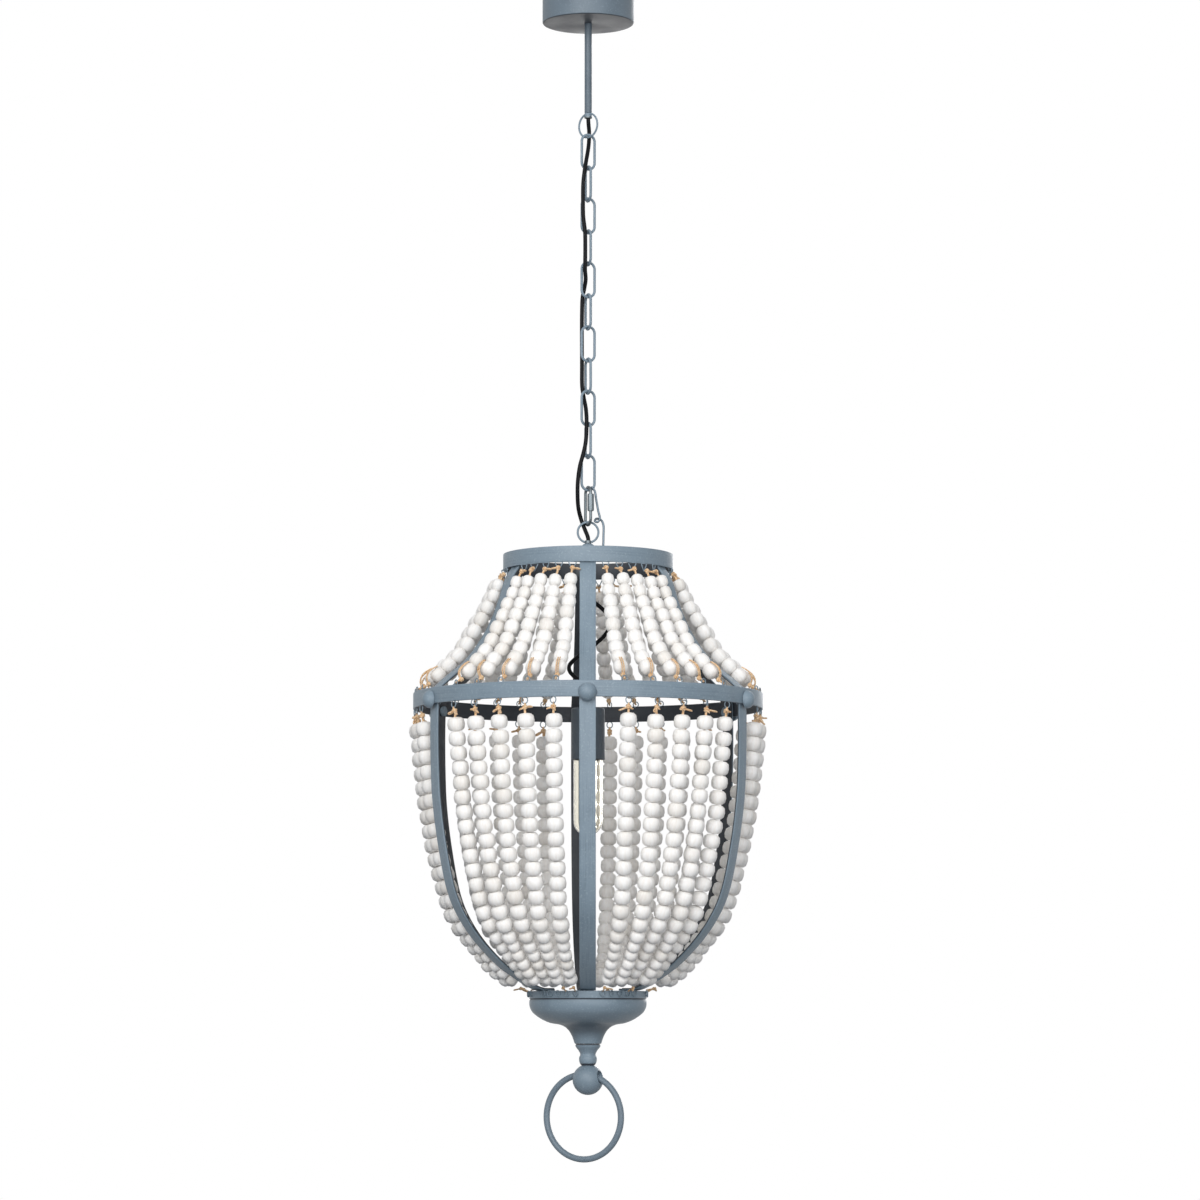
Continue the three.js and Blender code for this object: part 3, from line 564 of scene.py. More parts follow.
def chalk_paint(colours):
    """Chalk paint brushed on mild steel: a dull sheen, uneven in tone, with brush marks about a
    millimetre wide along each bar and a faint grain of dried pigment, paler where it is rubbed.
    A mark mixes painted shade, a dark colour, into faces that look into the cage, seams and parts lit less."""
    material, add, at = new_material("chalk_paint_on_steel")
    patches = add("TexNoise", {"Vector": at, "Scale": per(30), "Detail": 4.0, "Roughness": 0.55})["Fac"]
    grain = add("TexNoise", {"Vector": at, "Scale": per(1.8), **FINE})["Fac"]
    brush = add("Attribute", attribute_name="brush")["Fac"]
    across = add("CombineXYZ", {"X": brush})["Vector"]
    along = (22.0, 22.0, 22.0)  # makes the strokes about 45 mm long
    stroke = add("VectorMath", {0: at, 1: along, 2: across}, operation="MULTIPLY_ADD")["Vector"]
    strokes = add("TexNoise", {"Vector": stroke, "Scale": 1.0, "Detail": 2.0})["Fac"]
    uneven = add("Math", {0: patches, 1: strokes}, operation="ADD")["Value"]
    stops = (0.72, colours.paint_dark), (1.0, colours.paint)
    body = add("ValToRGB", {"Fac": uneven}, stops)["Color"]
    rubbed = add("MapRange", {"Value": grain, "From Min": 0.55, "From Max": 0.78})["Result"]
    worn = add("Mix", {"Factor": rubbed, "A": body, "B": colours.paint_rubbed}, data_type="RGBA")["Result"]
    # painted shade: this mark mixes the dark shade colour over the worn paint
    inner = add("Attribute", attribute_name="inner")["Fac"]
    shaded_colour = add("Mix", {"Factor": inner, "A": worn, "B": colours.shade_colour}, data_type="RGBA")["Result"]
    inputs = {"Value": patches, "From Min": 0.3, "From Max": 0.7, "To Min": 0.42, "To Max": 0.56}
    rough = add("MapRange", inputs)["Result"]
    normal = add("Bump", {"Height": grain, "Distance": 0.1 * MM, "Strength": 0.5})["Normal"]
    shader = add("BsdfPrincipled", {"Base Color": shaded_colour, "Roughness": rough, "Normal": normal})["BSDF"]
    add("OutputMaterial", {"Surface": shader})
    return material


def limewashed_wood(colours):
    """Turned softwood beads with a limewash: nearly white and dry, with the grain showing as faint
    warm lines along the bore, and no two beads quite alike."""
    material, add, at = new_material("limewashed_turned_wood")
    uv = add("TexCoord")["UV"]
    tone = add("Attribute", attribute_name="bead_tone")["Fac"]
    shift = add("CombineXYZ", {"X": tone, "Y": tone, "Z": tone})["Vector"]
    apart = (37.0, 11.0, 23.0)  # takes each bead's grain from another place in the pattern
    shifted = add("VectorMath", {0: shift, 1: apart}, operation="MULTIPLY")["Vector"]
    stretched = add("Mapping", {"Vector": uv, "Location": shifted, "Scale": (26.0, 3.0, 1.0)})["Vector"]
    lines = add("TexNoise", {"Vector": stretched, "Scale": 1.0, "Detail": 3.0})["Fac"]
    stops = (0.42, colours.bead_grain), (0.56, colours.bead)
    grain = add("ValToRGB", {"Fac": lines}, stops)["Color"]
    smudge = add("TexNoise", {"Vector": at, "Scale": per(7), **FINE})["Fac"]
    inputs = {"Value": smudge, "From Min": 0.5, "From Max": 0.75, "To Min": 0.0, "To Max": 0.5}
    smudged = add("MapRange", inputs)["Result"]
    aged = add("Mix", {"Factor": smudged, "A": grain, "B": colours.bead_grain}, data_type="RGBA")["Result"]
    stops = (0.0, linear("f3f1ee")), (0.35, linear("ffffff"))
    shade = add("ValToRGB", {"Fac": tone}, stops)["Color"]
    inputs = {"Factor": 1.0, "A": aged, "B": shade}
    tinted = add("Mix", inputs, data_type="RGBA", blend_type="MULTIPLY")["Result"]
    normal = add("Bump", {"Height": lines, "Distance": 0.03 * MM, "Strength": 0.15})["Normal"]
    shader = add("BsdfPrincipled", {"Base Color": tinted, "Roughness": 0.8, "Normal": normal})["BSDF"]
    add("OutputMaterial", {"Surface": shader})
    return material


def jute(colours):
    """Two-ply jute twine: hairy, dull, straw to light brown, darker between the plies."""
    material, add, at = new_material("jute_twine")
    plies = add("TexNoise", {"Vector": at, "Scale": per(1.2), **FINE})["Fac"]
    stops = (0.36, colours.jute_dark), (0.6, colours.jute)
    colour = add("ValToRGB", {"Fac": plies}, stops)["Color"]
    normal = add("Bump", {"Height": plies, "Distance": 0.5 * MM, "Strength": 0.8})["Normal"]
    inputs = {"Base Color": colour, "Roughness": 0.95, "Sheen Weight": 0.25, "Normal": normal}
    shader = add("BsdfPrincipled", inputs)["BSDF"]
    add("OutputMaterial", {"Surface": shader})
    return material


def metal(name, dark, bright, rough, fine):
    """Plated or drawn metal: between two tones, with an uneven sheen in patches of that many mm."""
    material, add, at = new_material(name)
    patches = add("TexNoise", {"Vector": at, "Scale": per(fine), **FINE})["Fac"]
    stops = (0.2, linear(dark)), (0.9, linear(bright))
    colour = add("ValToRGB", {"Fac": patches}, stops)["Color"]
    low, high = rough - 0.08, rough + 0.1
    inputs = {"Value": patches, "From Min": 0.3, "From Max": 0.7, "To Min": low, "To Max": high}
    sheen = add("MapRange", inputs)["Result"]
    shader = add("BsdfPrincipled", {"Base Color": colour, "Metallic": 1.0, "Roughness": sheen})["BSDF"]
    add("OutputMaterial", {"Surface": shader})
    return material


def zinc_plate():
    """Zinc-plated steel that has gone dull."""
    return metal("zinc_plated_steel", "61696e", "7d8589", 0.48, 6)


def plain_plastic(name, colour, rough, fine):
    """Extruded or moulded plastic: one colour, with a soft gloss broken by a very fine texture."""
    material, add, at = new_material(name)
    texture = add("TexNoise", {"Vector": at, "Scale": per(fine), **FINE})["Fac"]
    shade = tuple(0.75 * v for v in colour[:3]) + (1,)
    stops = (0.3, shade), (0.6, colour)
    tone = add("ValToRGB", {"Fac": texture}, stops)["Color"]
    normal = add("Bump", {"Height": texture, "Distance": 0.05 * MM, "Strength": 0.4})["Normal"]
    inputs = {"Base Color": tone, "Roughness": rough, "Specular IOR Level": 0.12, "Normal": normal}
    shader = add("BsdfPrincipled", inputs)["BSDF"]
    add("OutputMaterial", {"Surface": shader})
    return material


def clear_glass(colours):
    """Blown soda-lime glass: clear with a breath of warmth, and smooth."""
    material, add, at = new_material("clear_soda_lime_glass")
    wave = add("TexNoise", {"Vector": at, "Scale": per(18), "Detail": 1.0, "Roughness": 0.55})["Fac"]
    normal = add("Bump", {"Height": wave, "Distance": 0.3 * MM, "Strength": 0.3})["Normal"]
    inputs = {
        "Base Color": colours.glass, "Roughness": 0.0, "IOR": 1.5, "Transmission Weight": 1.0,
        "Normal": normal,
    }
    shader = add("BsdfPrincipled", inputs)["BSDF"]
    add("OutputMaterial", {"Surface": shader})
    return material


def seen_rays(add):
    """1 for rays from the camera, off gloss and through glass, and 0 for those that carry light."""
    rays = add("LightPath")
    seen = rays["Is Camera Ray"]
    for ray in ("Is Glossy Ray", "Is Transmission Ray"):
        seen = add("Math", {0: seen, 1: rays[ray]}, operation="MAXIMUM")["Value"]
    return seen


def pale_floor():
    """Matt pale floor: nearly white where it is seen, and grey to the light that it throws back, so
    that it doesn't brighten the object from below."""
    material, add, at = new_material("pale_matt_floor")
    worn = add("TexNoise", {"Vector": at, "Scale": per(400), **FINE})["Fac"]
    stops = (0.3, linear("efeeec")), (0.7, linear("f4f3f1"))
    colour = add("ValToRGB", {"Fac": worn}, stops)["Color"]
    bounced = add("LightPath")["Is Diffuse Ray"]
    pale = add("Mix", {"Factor": bounced, "A": colour, "B": linear("6c7076")}, data_type="RGBA")["Result"]
    matt = add("BsdfDiffuse", {"Color": pale})["BSDF"]
    plain = add("Emission", {"Color": colour, "Strength": 0.95})["Emission"]
    share = add("Math", {0: seen_rays(add), 1: 0.8}, operation="MULTIPLY")["Value"]
    shader = add("MixShader", {0: share, 1: matt, 2: plain})["Shader"]
    add("OutputMaterial", {"Surface": shader})
    return material


# Pieces


def make_piece(name, shape, material, body=None, stands_for=(), sharp=35, marks=None):
    """A mesh object with its place in its mesh, welded and facing outwards, smooth but for edges
    sharper than that many degrees. It rides on body, and hides the named solids. marks are
    numbers for each vertex that its material reads."""
    vertices, faces, uv = shape
    mesh = bpy.data.meshes.new(name)
    mesh.from_pydata((np.asarray(vertices) * MM).tolist(), [], faces)
    layer = mesh.uv_layers.new(name="UVMap")
    layer.data.foreach_set("uv", np.asarray(uv, np.float32).ravel())
    for mark, values in (marks or {}).items():
        attribute = mesh.attributes.new(mark, "FLOAT", "POINT")
        attribute.data.foreach_set("value", np.zeros(len(vertices), np.float32) + values)
    shell = bmesh.new()
    shell.from_mesh(mesh)
    bmesh.ops.remove_doubles(shell, verts=shell.verts, dist=1e-6)
    bmesh.ops.recalc_face_normals(shell, faces=shell.faces)
    shell.to_mesh(mesh)
    shell.free()
    mesh.polygons.foreach_set("use_smooth", np.ones(len(mesh.polygons), bool))
    mesh.set_sharp_from_angle(angle=sharp * DEG)
    mesh.materials.append(material)
    piece = bpy.data.objects.new(name, mesh)
    bpy.context.scene.collection.objects.link(piece)
    if body:
        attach(piece, body)
    if stands_for:
        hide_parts(*stands_for)
    return piece


def finish_node(name, material):
    """Gives a solid that stays in sight its finish."""
    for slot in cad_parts[name].material_slots:
        slot.material = material


def seams(shape, heights):
    """Painted shade along a shape's seams: 1 where it is within reach of the height of a seam."""
    z = shape[0][:, 2]
    return {"inner": np.max([np.abs(z - height) < reach for height, reach in heights], axis=0) * 1.0}


def hang_tier(tier, panel, beads, ties, finishes, random):
    """Makes one panel's beads, each with a tone of its own, and their twine and hooks."""
    wood, twine, paint = finishes
    shape = grids(np.concatenate(beads), (False, True))
    count = sum(len(strand) for strand in beads)
    tone = {"bead_tone": np.repeat(random.uniform(0, 1, count), len(shape[0]) // count)}
    solids = [f"{tier}_strands_{panel}"]
    make_piece(f"{tier}_beads_{panel}", bead_ends(shape), wood, "cage", solids, 80, tone)
    make_piece(f"{tier}_twine_{panel}", together(*ties[0]), twine, "cage", sharp=80)
    make_piece(f"{tier}_hooks_{panel}", together(*ties[1]), paint, "cage", sharp=80)


# Settings


def length_setting(name, description, millimetres):
    """A size that a user may change."""
    return bpy.props.FloatProperty(
        name=name, description=description, default=millimetres * MM, unit="LENGTH", precision=4
    )


def colour_setting(name, description, code):
    """A colour that a user may change, from its sRGB code."""
    return bpy.props.FloatVectorProperty(
        name=name, description=description, default=linear(code), subtype="COLOR", size=4
    )


def power_setting(name, description, watts):
    """The power of a lamp, which a user may change."""
    return bpy.props.FloatProperty(name=name, description=description, default=watts, unit="POWER")


class ChandelierSizes(bpy.types.PropertyGroup):
    upper_bead: length_setting("Upper bead", "Width of the largest beads of the upper tier", 15.2)
    lower_bead: length_setting("Lower bead", "Width of the largest beads of the lower tier", 17.0)
    upper_height: length_setting("Upper bead height", "Their height in the upper tier", 14.2)
    lower_height: length_setting("Lower bead height", "Their height in the lower tier", 14.5)
    twine: length_setting("Twine", "Radius of the jute twine", 1.1)
    hook_wire: length_setting("Hook wire", "Radius of the hooks' wire", 0.55)


class ChandelierColours(bpy.types.PropertyGroup):
    paint: colour_setting("Paint", "Chalk paint of the metalwork", "798a97")
    paint_dark: colour_setting("Paint, thin", "Chalk paint where it is thin", "6b7c89")
    paint_rubbed: colour_setting("Paint, rubbed", "Chalk paint where it is rubbed pale", "8c9ca7")
    # Painted shade: the dark colour that the mark mixes into inner faces, seams and parts lit less
    shade_colour: colour_setting("Shade colour", "Painted shade on the faces that look into the cage", "2a3038")
    bead: colour_setting("Beads", "Limewash on the beads", "f8f7f5")
    bead_grain: colour_setting("Bead grain", "Wood grain under the limewash", "f3f0ec")
    jute: colour_setting("Jute", "Jute twine", "ecd0aa")
    jute_dark: colour_setting("Jute, dark", "Jute between the plies", "cc9a68")
    cord: colour_setting("Cord", "Jacket of the supply cord", "0a0c10")
    glass: colour_setting("Glass", "Tint of the bulb's glass", "faf8f0")


class ChandelierStage(bpy.types.PropertyGroup):
    key: power_setting("Key light", "Power of the large lamp at the front left", 76.0)
    fill: power_setting("Fill light", "Power of the large lamp beside the camera", 86.0)
    back: power_setting("Back light", "Power of the large lamp behind", 62.0)
    sky: bpy.props.FloatProperty(
        name="Sky", description="Strength of the soft light from above", default=0.48, min=0.0
    )


# Operators


class CHANDELIER_OT_stage(bpy.types.Operator):
    """Sets up the camera, the lamps, the sky and the pale floor"""

    bl_idname = "chandelier.stage"
    bl_label = "Camera and stage"

    def execute(self, context):
        settings = context.scene.chandelier_stage
        camera = bpy.data.cameras.new("camera")
        camera.lens = 133.5
        camera.sensor_width = 36.0
        camera.clip_end = 60.0
        viewer = bpy.data.objects.new("camera", camera)
        tilt = 5.7106  # degrees above level
        viewer.location = (0.012, -4.45, -1.0845)
        viewer.rotation_euler = ((90 + tilt) * DEG, 0, 0)
        context.scene.collection.objects.link(viewer)
        context.scene.camera = viewer

        aim = np.array([0, 0, -0.85])
        for name, watts, size, at in (
            ("key_lamp", settings.key, 2.2, (-1.05, -3.2, 0.45)),
            ("fill_lamp", settings.fill, 2.4, (1.6, -4.9, -0.7)),
            ("back_lamp", settings.back, 2.4, (0.9, 3.9, 0.3)),
        ):
            light = bpy.data.lights.new(name, "AREA")
            light.energy = watts
            light.size = size
            lamp = bpy.data.objects.new(name, light)
            way = unit(aim - at)
            lamp.location = at
            lamp.rotation_euler = (np.arccos(-way[2]), 0, np.arctan2(way[1], way[0]) - np.pi / 2)
            context.scene.collection.objects.link(lamp)

        world = bpy.data.worlds.new("pale_room")
        context.scene.world = world
        world.use_nodes = True
        world.node_tree.nodes.clear()
        add = partial(add_node, world.node_tree)
        way = add("TexCoord")["Generated"]
        height = add("SeparateXYZ", {"Vector": way})["Z"]
        half = add("Math", {0: height, 1: 0.5, 2: 0.5}, operation="MULTIPLY_ADD")["Value"]
        stops = (0.42, linear("868b91")), (0.6, linear("f4f5f7"))
        sky = add("ValToRGB", {"Fac": half}, stops)["Color"]
        even = add("Background", {"Color": sky, "Strength": settings.sky})[0]
        white = add("Background", {"Color": linear("ffffff"), "Strength": 1.0})[0]
        mixed = add("MixShader", {0: seen_rays(add), 1: even, 2: white})[0]
        add("OutputWorld", {"Surface": mixed})

        floor = bpy.data.meshes.new("floor")
        radius, height = 6.0, -2.4
        rim = around((radius, height), np.arange(0, 360, 5))
        floor.from_pydata(rim.tolist(), [], [list(range(len(rim)))])
        floor.materials.append(pale_floor())
        ground = bpy.data.objects.new("floor", floor)
        context.scene.collection.objects.link(ground)
        context.scene.view_settings.view_transform = "Standard"
        return {"FINISHED"}


class CHANDELIER_OT_slack_flex(bpy.types.Operator):
    """Makes the slack flex that loops inside the cage, from the nipple to the lamp holder"""

    bl_idname = "chandelier.slack_flex"
    bl_label = "Slack flex"

    def execute(self, context):
        colours = context.scene.chandelier_colours
        line = smooth_line(flex_route(), 220) * MM
        curve = bpy.data.curves.new("slack_flex", "CURVE")
        curve.dimensions = "3D"
        curve.bevel_depth = CORD_RADIUS * MM
        curve.bevel_resolution = 3
        curve.use_fill_caps = True
        spline = curve.splines.new("POLY")
        spline.points.add(len(line) - 1)
        spline.points.foreach_set("co", np.hstack([line, np.ones((len(line), 1))]).ravel())
        curve.materials.append(plain_plastic("black_pvc_cord", colours.cord, 0.42, 2.5))
        flex = bpy.data.objects.new("slack_flex", curve)
        context.scene.collection.objects.link(flex)
        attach(flex, "cage")
        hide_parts("inner_flex")
        return {"FINISHED"}


class CHANDELIER_OT_supply_cord(bpy.types.Operator):
    """Makes the black supply cord that is threaded down the chain, one stretch for each pin"""

    bl_idname = "chandelier.supply_cord"
    bl_label = "Supply cord"

    def execute(self, context):
        colours = context.scene.chandelier_colours
        jacket = plain_plastic("black_pvc_cord", colours.cord, 0.42, 2.5)
        line = smooth_line(SUPPLY_ROUTE, 620)
        rings = ring_points(line[None], CORD_RADIUS, 14, [1, 0, 0])[0]
        pins = np.array(CHAIN_PINS)
        cuts = np.concatenate([[line[0, 2]], (pins[:-1] + pins[1:]) / 2, [line[-1, 2]]])
        marks = [int(np.argmin(np.abs(line[:, 2] - z))) for z in cuts]
        for k, pin in enumerate(pins):
            shape = tube(rings[marks[k] : marks[k + 1] + 1])
            piece = make_piece(f"supply_cord_{k + 1:02d}", shape, jacket, sharp=60)
            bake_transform(piece)
            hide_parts("supply_cord")
        return {"FINISHED"}


class CHANDELIER_OT_canopy_and_stem(bpy.types.Operator):
    """Makes the ceiling canopy, the stem tube and the loop at its lower end"""

    bl_idname = "chandelier.canopy_and_stem"
    bl_label = "Canopy and stem"

    def execute(self, context):
        paint = chalk_paint(context.scene.chandelier_colours)
        shape = lathe(rounded(CANOPY_CUP, 1.8, 6), 96)
        # Painted shade: full on the canopy's underside and 0.36 of it over the rest, which is lit less near
        # the ceiling
        underside = shape[0][:, 2] < -49.4
        marks = {"inner": np.where(underside, 1.0, 0.36)}
        make_piece("canopy_cup", shape, paint, "canopy", ["ceiling_canopy"], marks=marks)
        stem = sleeve(STEM_BORE, STEM_RADIUS, STEM_BOTTOM, STEM_TOP, 0.15, 2, 32)
        # Painted shade at half strength over the whole stem tube
        make_piece("stem_tube", stem, paint, "ceiling", ["stem"], marks={"inner": 0.5})
        loop = torus(segments=64, sides=10, **STEM_LOOP)
        shape = together(lathe(rounded(STEM_COLLAR, 0.3, 2), 32), loop)
        make_piece("stem_ring", shape, paint, "ceiling", ["stem_loop"])
        rim = sleeve(STEM_RADIUS + 0.05, STEM_RADIUS + 0.3, RIM_BOTTOM, RIM_TOP, 0.2, 2, 32)
        make_piece("stem_collar_rim", rim, zinc_plate(), "ceiling")
        return {"FINISHED"}


class CHANDELIER_OT_chain(bpy.types.Operator):
    """Makes the wire links, the quick link with its nut, the cage's loop and the tether wire"""

    bl_idname = "chandelier.chain"
    bl_label = "Chain"

    def execute(self, context):
        paint, zinc = chalk_paint(context.scene.chandelier_colours), zinc_plate()
        for i in range(LINK_COUNT):
            turn, height = CHAIN_TURN + 90 * (i % 2), LINK_HEIGHT - LINK_PITCH * i
            link = stadium(LINK_WIDTH, LINK_LENGTH, LINK_WIRE, 10, turn, height)
            number = f"{i + 1:02d}"
            make_piece(f"wire_link_{number}", link, paint, f"link_{number}", [f"chain_link_{number}"])
        joiner = stadium(QUICK_WIDTH, QUICK_LENGTH, QUICK_WIRE, 12, CHAIN_TURN - 90, QUICK_HEIGHT)
        make_piece("quick_link_wire", joiner, zinc, "quick_link", ["quick_link"])
        make_piece("quick_link_nut", hexagon_nut(), zinc, "sleeve", ["quick_link_sleeve"])

        loop = torus(segments=64, sides=10, **CAGE_LOOP)
        shape = together(lathe(rounded(CAGE_COLLAR, 0.8, 3), 40), loop)
        make_piece("cage_ring", shape, paint, "cage", ["cage_loop"])
        ferrule = sleeve(FERRULE_BORE, FERRULE_RADIUS, FERRULE_BOTTOM, FERRULE_TOP, 0.3, 3, 32)
        make_piece("cage_ring_ferrule", ferrule, zinc, "cage")

        wire = metal("dull_drawn_wire", "626e78", "7f8b95", 0.5, 3)
        route = smooth_line(TETHER_ROUTE, 220)
        rings = ring_points(route[None], TETHER_RADIUS, 8, [0, 1, 0])[0]
        half = int(np.argmin(np.abs(route[:, 2] - TETHER_MIDDLE)))
        for name, part, bodies, pin in (
            ("tether_upper", rings[: half + 1], ("link_11", "quick_link"), CHAIN_PINS[-2]),
            ("tether_lower", rings[half:], ("quick_link", "cage"), CHAIN_PINS[-1]),
        ):
            piece = make_piece(name, tube(part), wire, sharp=60)
            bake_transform(piece)
        return {"FINISHED"}


class CHANDELIER_OT_cage(bpy.types.Operator):
    """Makes the top band, the hoop, the bent ribs and their ball-headed rivets"""

    bl_idname = "chandelier.cage"
    bl_label = "Cage"

    def execute(self, context):
        paint = chalk_paint(context.scene.chandelier_colours)
        for name, node, radius, wall, top in (
            ("band_of_flat_bar", "top_band", BAND_RADIUS, BAND_WALL, BAND_TOP),
            ("hoop_of_flat_bar", "mid_hoop", HOOP_RADIUS, HOOP_WALL, HOOP_TOP),
        ):
            shape = sleeve(radius - wall, radius, top - BAR_WIDTH, top, 0.7, 3, 160)
            # Painted shade on the faces that look into the cage, blended across the rounded edges
            inward = radius - wall / 2 - np.hypot(*shape[0][:, :2].T)
            marks = {"inner": np.clip(0.5 + 2 * inward, 0, 1), "brush": shape[0][:, 2]}
            make_piece(name, shape, paint, "cage", [node], marks=marks)

        line = smooth_line(RIB_LINE, 150)
        along = unit(np.gradient(line, axis=0))
        out = np.stack([-along[:, 1], along[:, 0]], -1)
        w, t = BAR_WIDTH / 2, BAR_THICKNESS / 2
        section = rounded([(-t, -w), (t, -w), (t, w), (-t, w)], 0.6, 3)
        at = line[:, None] + out[:, None] * section[None, :, :1]
        bar = np.stack([at[..., 0], section[None, :, 1] + 0 * at[..., 0], at[..., 1]], -1)
        # Painted shade on the ribs' faces that look into the cage
        inward = np.tile(np.clip(0.5 - section[:, 0], 0, 1), len(line))
        across = np.tile(section[:, 1], len(line))
        a = np.linspace(0, np.pi / 2, 9)
        dome = np.stack([RIVET_HEAD * np.cos(a), RIVET_FACE + RIVET_RISE * np.sin(a)], -1)
        rivet = turned_points(np.vstack([RIVET_SHANK, dome]), 28)
        rivet = np.stack([rivet[..., 2], rivet[..., 1], RIVET_HEIGHT - rivet[..., 0]], -1)
        for i, azimuth in enumerate(RIB_AZIMUTHS):
            marks = {"inner": inward, "brush": across + 40 * i}
            shape = tube(turned_about_z(bar, azimuth))
            make_piece(f"bent_rib_{i + 1}", shape, paint, "cage", [f"rib_{i + 1}"], marks=marks)
            shape = grid(turned_about_z(rivet, azimuth), (True, False))
            make_piece(f"ball_head_{i + 1}", shape, paint, "cage", [f"ball_rivet_{i + 1}"])
        return {"FINISHED"}


class CHANDELIER_OT_strands(bpy.types.Operator):
    """Threads the beads of both tiers, and ties them with twine to small wire hooks"""

    bl_idname = "chandelier.strands"
    bl_label = "Bead strands"

    def execute(self, context):
        sizes = context.scene.chandelier_sizes
        colours = context.scene.chandelier_colours
        finishes = limewashed_wood(colours), jute(colours), chalk_paint(colours)
        thread, wire = sizes.twine / MM, sizes.hook_wire / MM
        upper_size = sizes.upper_bead / MM, sizes.upper_height / MM
        lower_size = sizes.lower_bead / MM, sizes.lower_height / MM
        random = np.random.default_rng(7)
        loose, pushed, crowd = 0.25, 2.4, 0.05
        upper_gap, upper_spread, upper_end = 9.0, 1.2, 0.5
        lower_gap, lower_spread, lower_end = 0.6, 0.6, 1.0
        places = np.arange(STRANDS_IN_PANEL)
        for p, (middle, step) in enumerate(zip(*panels())):
            upper, lower = [], []
            azimuths = middle + UPPER_ASIDE[p] + (places - 2) * step
            below = azimuths + LOWER_ASIDE - UPPER_ASIDE[p]
            for k in places:
                line = strand_line(UPPER_STRAND, azimuths[2], step, 0, k)
                upper.append(
                    beads_along(
                        line, upper_gap + random.uniform(-upper_spread, upper_spread), upper_end, upper_size,
                        lambda share: 0.83 + 0.17 * smooth_step(share, 0.05, 0.5),
                        lambda share: random.normal(0, loose, (len(share), 3)), random,
                    )
                )
                line = strand_line(LOWER_STRAND, below[2], step, crowd, k)
                out = around((pushed if k % 2 else -pushed, 0), [below[k]])
                lower.append(
                    beads_along(
                        line, lower_gap + random.uniform(-lower_spread, lower_spread), lower_end, lower_size,
                        lambda share: 1 - 0.22 * smooth_step(share, 0.74, 0.82),
                        lambda share: smooth_step(share, 0.66, 0.95)[:, None] * out
                        + random.normal(0, loose, (len(share), 3)), random,
                    )
                )
            ties = upper_ties(azimuths, thread, wire, random)
            hang_tier("upper", p + 1, upper, ties, finishes, random)
            ties = lower_ties(below, below[2], thread, wire, random)
            hang_tier("lower", p + 1, lower, ties, finishes, random)
        return {"FINISHED"}


class CHANDELIER_OT_lamp(bpy.types.Operator):
    """Makes the socket cup and the tubular bulb with its filament"""

    bl_idname = "chandelier.lamp"
    bl_label = "Socket and bulb"

    def execute(self, context):
        colours = context.scene.chandelier_colours
        # Painted shade at 0.75 over the whole socket cup, which hangs inside the cage
        shape, marks = lathe(rounded(SOCKET_CUP, 2.2, 5), 72), {"inner": 0.75}
        make_piece("socket_shell", shape, chalk_paint(colours), "cage", ["socket_cup"], marks=marks)

        a = np.linspace(0, np.pi / 2, 14)
        neck = smooth_line(BULB_NECK, 12)
        dome = np.stack([np.cos(a), -np.sin(a)], -1)
        outside = np.vstack([neck, BULB_RADIUS * dome + [0, BULB_DOME]])
        inside = np.vstack([neck - [BULB_WALL, 0], (BULB_RADIUS - BULB_WALL) * dome + [0, BULB_DOME]])
        glass = clear_glass(colours)
        shape = lathe(np.vstack([outside, inside[::-1]]), 48)
        make_piece("bulb_envelope", shape, glass, "bulb", ["bulb_glass"], 50)

        post = lathe(rounded(FILAMENT_POST, 0.8, 4), 20)
        make_piece("filament_post", post, glass, "bulb", sharp=50)
        passes, top, drop, out, bulge = 5, -808, 44, 5.0, 1.6
        t = np.linspace(0, 1, 300)
        turn = 2 * np.pi * t
        swing = 0.5 - 0.5 * np.cos(passes * turn)
        r = out + bulge * np.sin(np.pi * swing)
        route = np.stack([r * np.cos(turn), r * np.sin(turn), top - drop * swing], -1)
        filament = tube(ring_points(route[None], 0.28, 5, [0.1, 0.2, 1])[0])
        dark = plain_plastic("carbon_filament", linear("5a3f28"), 0.6, 2)
        make_piece("filament", filament, dark, "bulb", sharp=80)
        return {"FINISHED"}


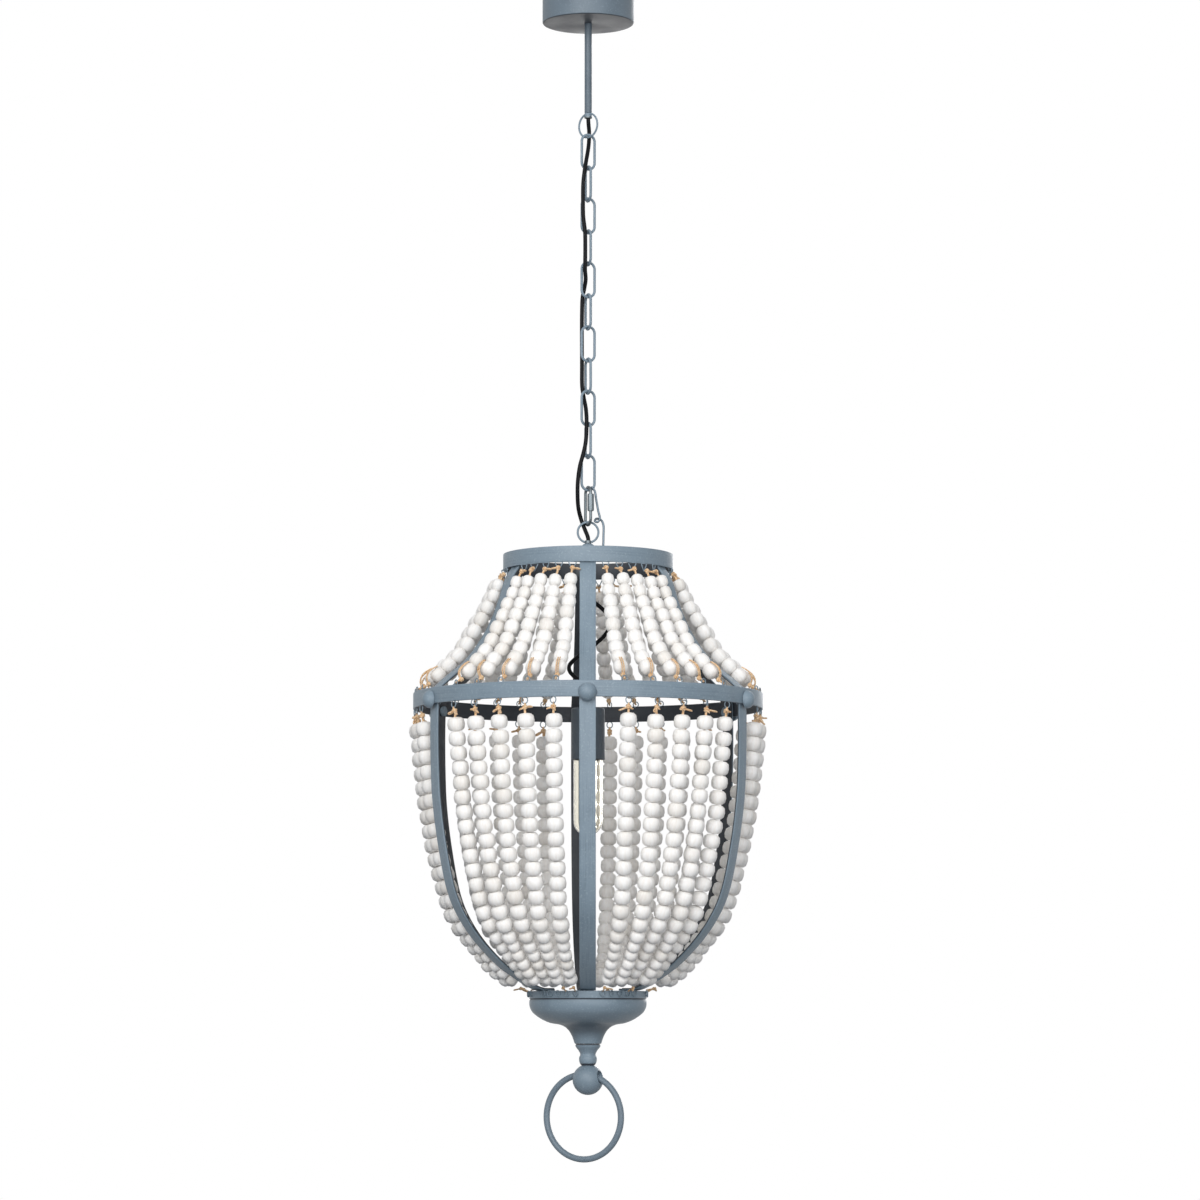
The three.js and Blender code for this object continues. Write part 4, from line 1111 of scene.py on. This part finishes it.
class CHANDELIER_OT_finial(bpy.types.Operator):
    """Makes the bottom disc, the turned bowl and neck, the ball and the ring that hangs in it"""

    bl_idname = "chandelier.finial"
    bl_label = "Finial"

    def execute(self, context):
        paint = chalk_paint(context.scene.chandelier_colours)
        plate = sleeve(TIE_BORE, DISC_RADIUS, DISC_BOTTOM, DISC_TOP, 0.8, 3, 96)
        # Painted shade along the seams between plate, bowl and neck
        marks = seams(plate, [(DISC_BOTTOM, 0.4)])
        make_piece("finial_plate", plate, paint, "cage", ["bottom_disc"], marks=marks)
        outside = np.vstack([smooth_line(BOWL_OUTSIDE, 40), [(12.3, BOWL_BOTTOM)]])
        bowl = lathe(np.vstack([outside, BOWL_INSIDE]), 96)
        marks = seams(bowl, [(-1039.2, 0.5), (BOWL_BOTTOM, 0.3)])
        # Painted shade under the bowl's bulge, strongest at the height hollow and fading over spread mm
        hollow, spread, strength = -1069, 7, 0.62
        shade = strength * np.exp(-(((bowl[0][:, 2] - hollow) / spread) ** 2))
        marks["inner"] = np.maximum(marks["inner"], shade)
        make_piece("turned_bowl", bowl, paint, "cage", ["bottom_bowl"], marks=marks)
        outside = smooth_line(NECK_OUTSIDE, 28)
        neck = lathe(np.vstack([outside, [(TIE_BORE, NECK_BOTTOM), (TIE_BORE, NECK_TOP)]]), 48)
        # Painted shade along the neck's seams with the bowl and the ball
        marks = seams(neck, [(-1083.6, 1.0), (-1104.4, 1.8)])
        make_piece("turned_neck", neck, paint, "cage", ["neck_spindle"], marks=marks)

        a = np.linspace(0, np.pi, 25)
        ball = np.stack([BALL_RADIUS * np.sin(a), BALL_HEIGHT + BALL_RADIUS * np.cos(a)], -1)
        shape = grid(turned_points(ball, 48), (True, False))
        # Painted shade at 0.1 over the whole ball
        piece = make_piece("finial_ball_turned", shape, paint, marks={"inner": 0.1})
        half = 17  # of the drill's length, more than the ball's radius
        reach = np.linspace(-half, half, 15)
        sag = RING_RADIUS - np.sqrt(RING_RADIUS**2 - reach**2)
        mouth = np.vstack([[0, reach[0]], np.stack([RING_HOLE + sag, reach], -1), [0, reach[-1]]])
        drill = turned_points(mouth, 24)
        drill = np.stack([drill[..., 2], drill[..., 1], -drill[..., 0]], -1)
        tool = make_piece("drill", grid(hung(drill), (True, False)), paint)
        cut = piece.modifiers.new("hole", "BOOLEAN")
        cut.object = tool
        cut.solver = "EXACT"
        context.view_layer.update()
        evaluated = piece.evaluated_get(context.evaluated_depsgraph_get())
        drilled = bpy.data.meshes.new_from_object(evaluated)
        piece.modifiers.clear()
        piece.data = drilled
        drilled.set_sharp_from_angle(angle=35 * DEG)
        bpy.data.objects.remove(tool)
        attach(piece, "cage")
        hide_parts("finial_ball")

        vertices, faces, uv = torus(RING_RADIUS, RING_WIRE, 96, 16, 0, -RING_RADIUS)
        shape = hung(vertices), faces, uv
        # Painted shade at 0.26 over the whole hanging ring
        make_piece("hanging_ring", shape, paint, "finial_ring", ["finial_ring"], marks={"inner": 0.26})
        return {"FINISHED"}


class CHANDELIER_OT_plain_parts(bpy.types.Operator):
    """Finishes the solids that stay as they are: bracket, nuts, crossbar, hanger, holder and cap"""

    bl_idname = "chandelier.plain_parts"
    bl_label = "Plain parts"

    def execute(self, context):
        paint, zinc = chalk_paint(context.scene.chandelier_colours), zinc_plate()
        for name in ("ceiling_bracket", "stem_locknut", "loop_nipple", "tie_rod"):
            finish_node(name, zinc)
        for name in ("top_crossbar", "socket_hanger"):
            finish_node(name, paint)
        finish_node("lamp_holder", plain_plastic("black_phenolic", linear("1b1b1d"), 0.45, 3))
        finish_node("bulb_cap", metal("nickel_plated_brass", "b8b1a2", "dcd8ce", 0.28, 4))
        return {"FINISHED"}


class CHANDELIER_PT_panel(bpy.types.Panel):
    """Lists the chandelier's settings and the pieces that can be made"""

    bl_idname = "CHANDELIER_PT_panel"
    bl_label = "Beaded chandelier"
    bl_space_type = "VIEW_3D"
    bl_region_type = "UI"
    bl_category = "Chandelier"

    def draw(self, context):
        for group in SETTINGS:
            for name in SETTINGS[group].__annotations__:
                self.layout.prop(getattr(context.scene, group), name)
        for operator in OPERATORS:
            self.layout.operator(operator.bl_idname)


SETTINGS = {
    "chandelier_sizes": ChandelierSizes,
    "chandelier_colours": ChandelierColours,
    "chandelier_stage": ChandelierStage,
}

OPERATORS = (
    CHANDELIER_OT_stage,
    CHANDELIER_OT_slack_flex,
    CHANDELIER_OT_supply_cord,
    CHANDELIER_OT_canopy_and_stem,
    CHANDELIER_OT_chain,
    CHANDELIER_OT_cage,
    CHANDELIER_OT_strands,
    CHANDELIER_OT_lamp,
    CHANDELIER_OT_finial,
    CHANDELIER_OT_plain_parts,
)


def register():
    for cls in (*SETTINGS.values(), *OPERATORS, CHANDELIER_PT_panel):
        bpy.utils.register_class(cls)
    for name, group in SETTINGS.items():
        setattr(bpy.types.Scene, name, bpy.props.PointerProperty(type=group))


def unregister():
    for name in SETTINGS:
        delattr(bpy.types.Scene, name)
    for cls in (CHANDELIER_PT_panel, *reversed(OPERATORS), *reversed(SETTINGS.values())):
        bpy.utils.unregister_class(cls)


def main():
    register()
    for operator in OPERATORS:
        group, name = operator.bl_idname.split(".")
        result = getattr(getattr(bpy.ops, group), name)()
        if result != {"FINISHED"}:
            raise RuntimeError(f"{operator.bl_label} was not made")


if __name__ == "__main__":
    main()
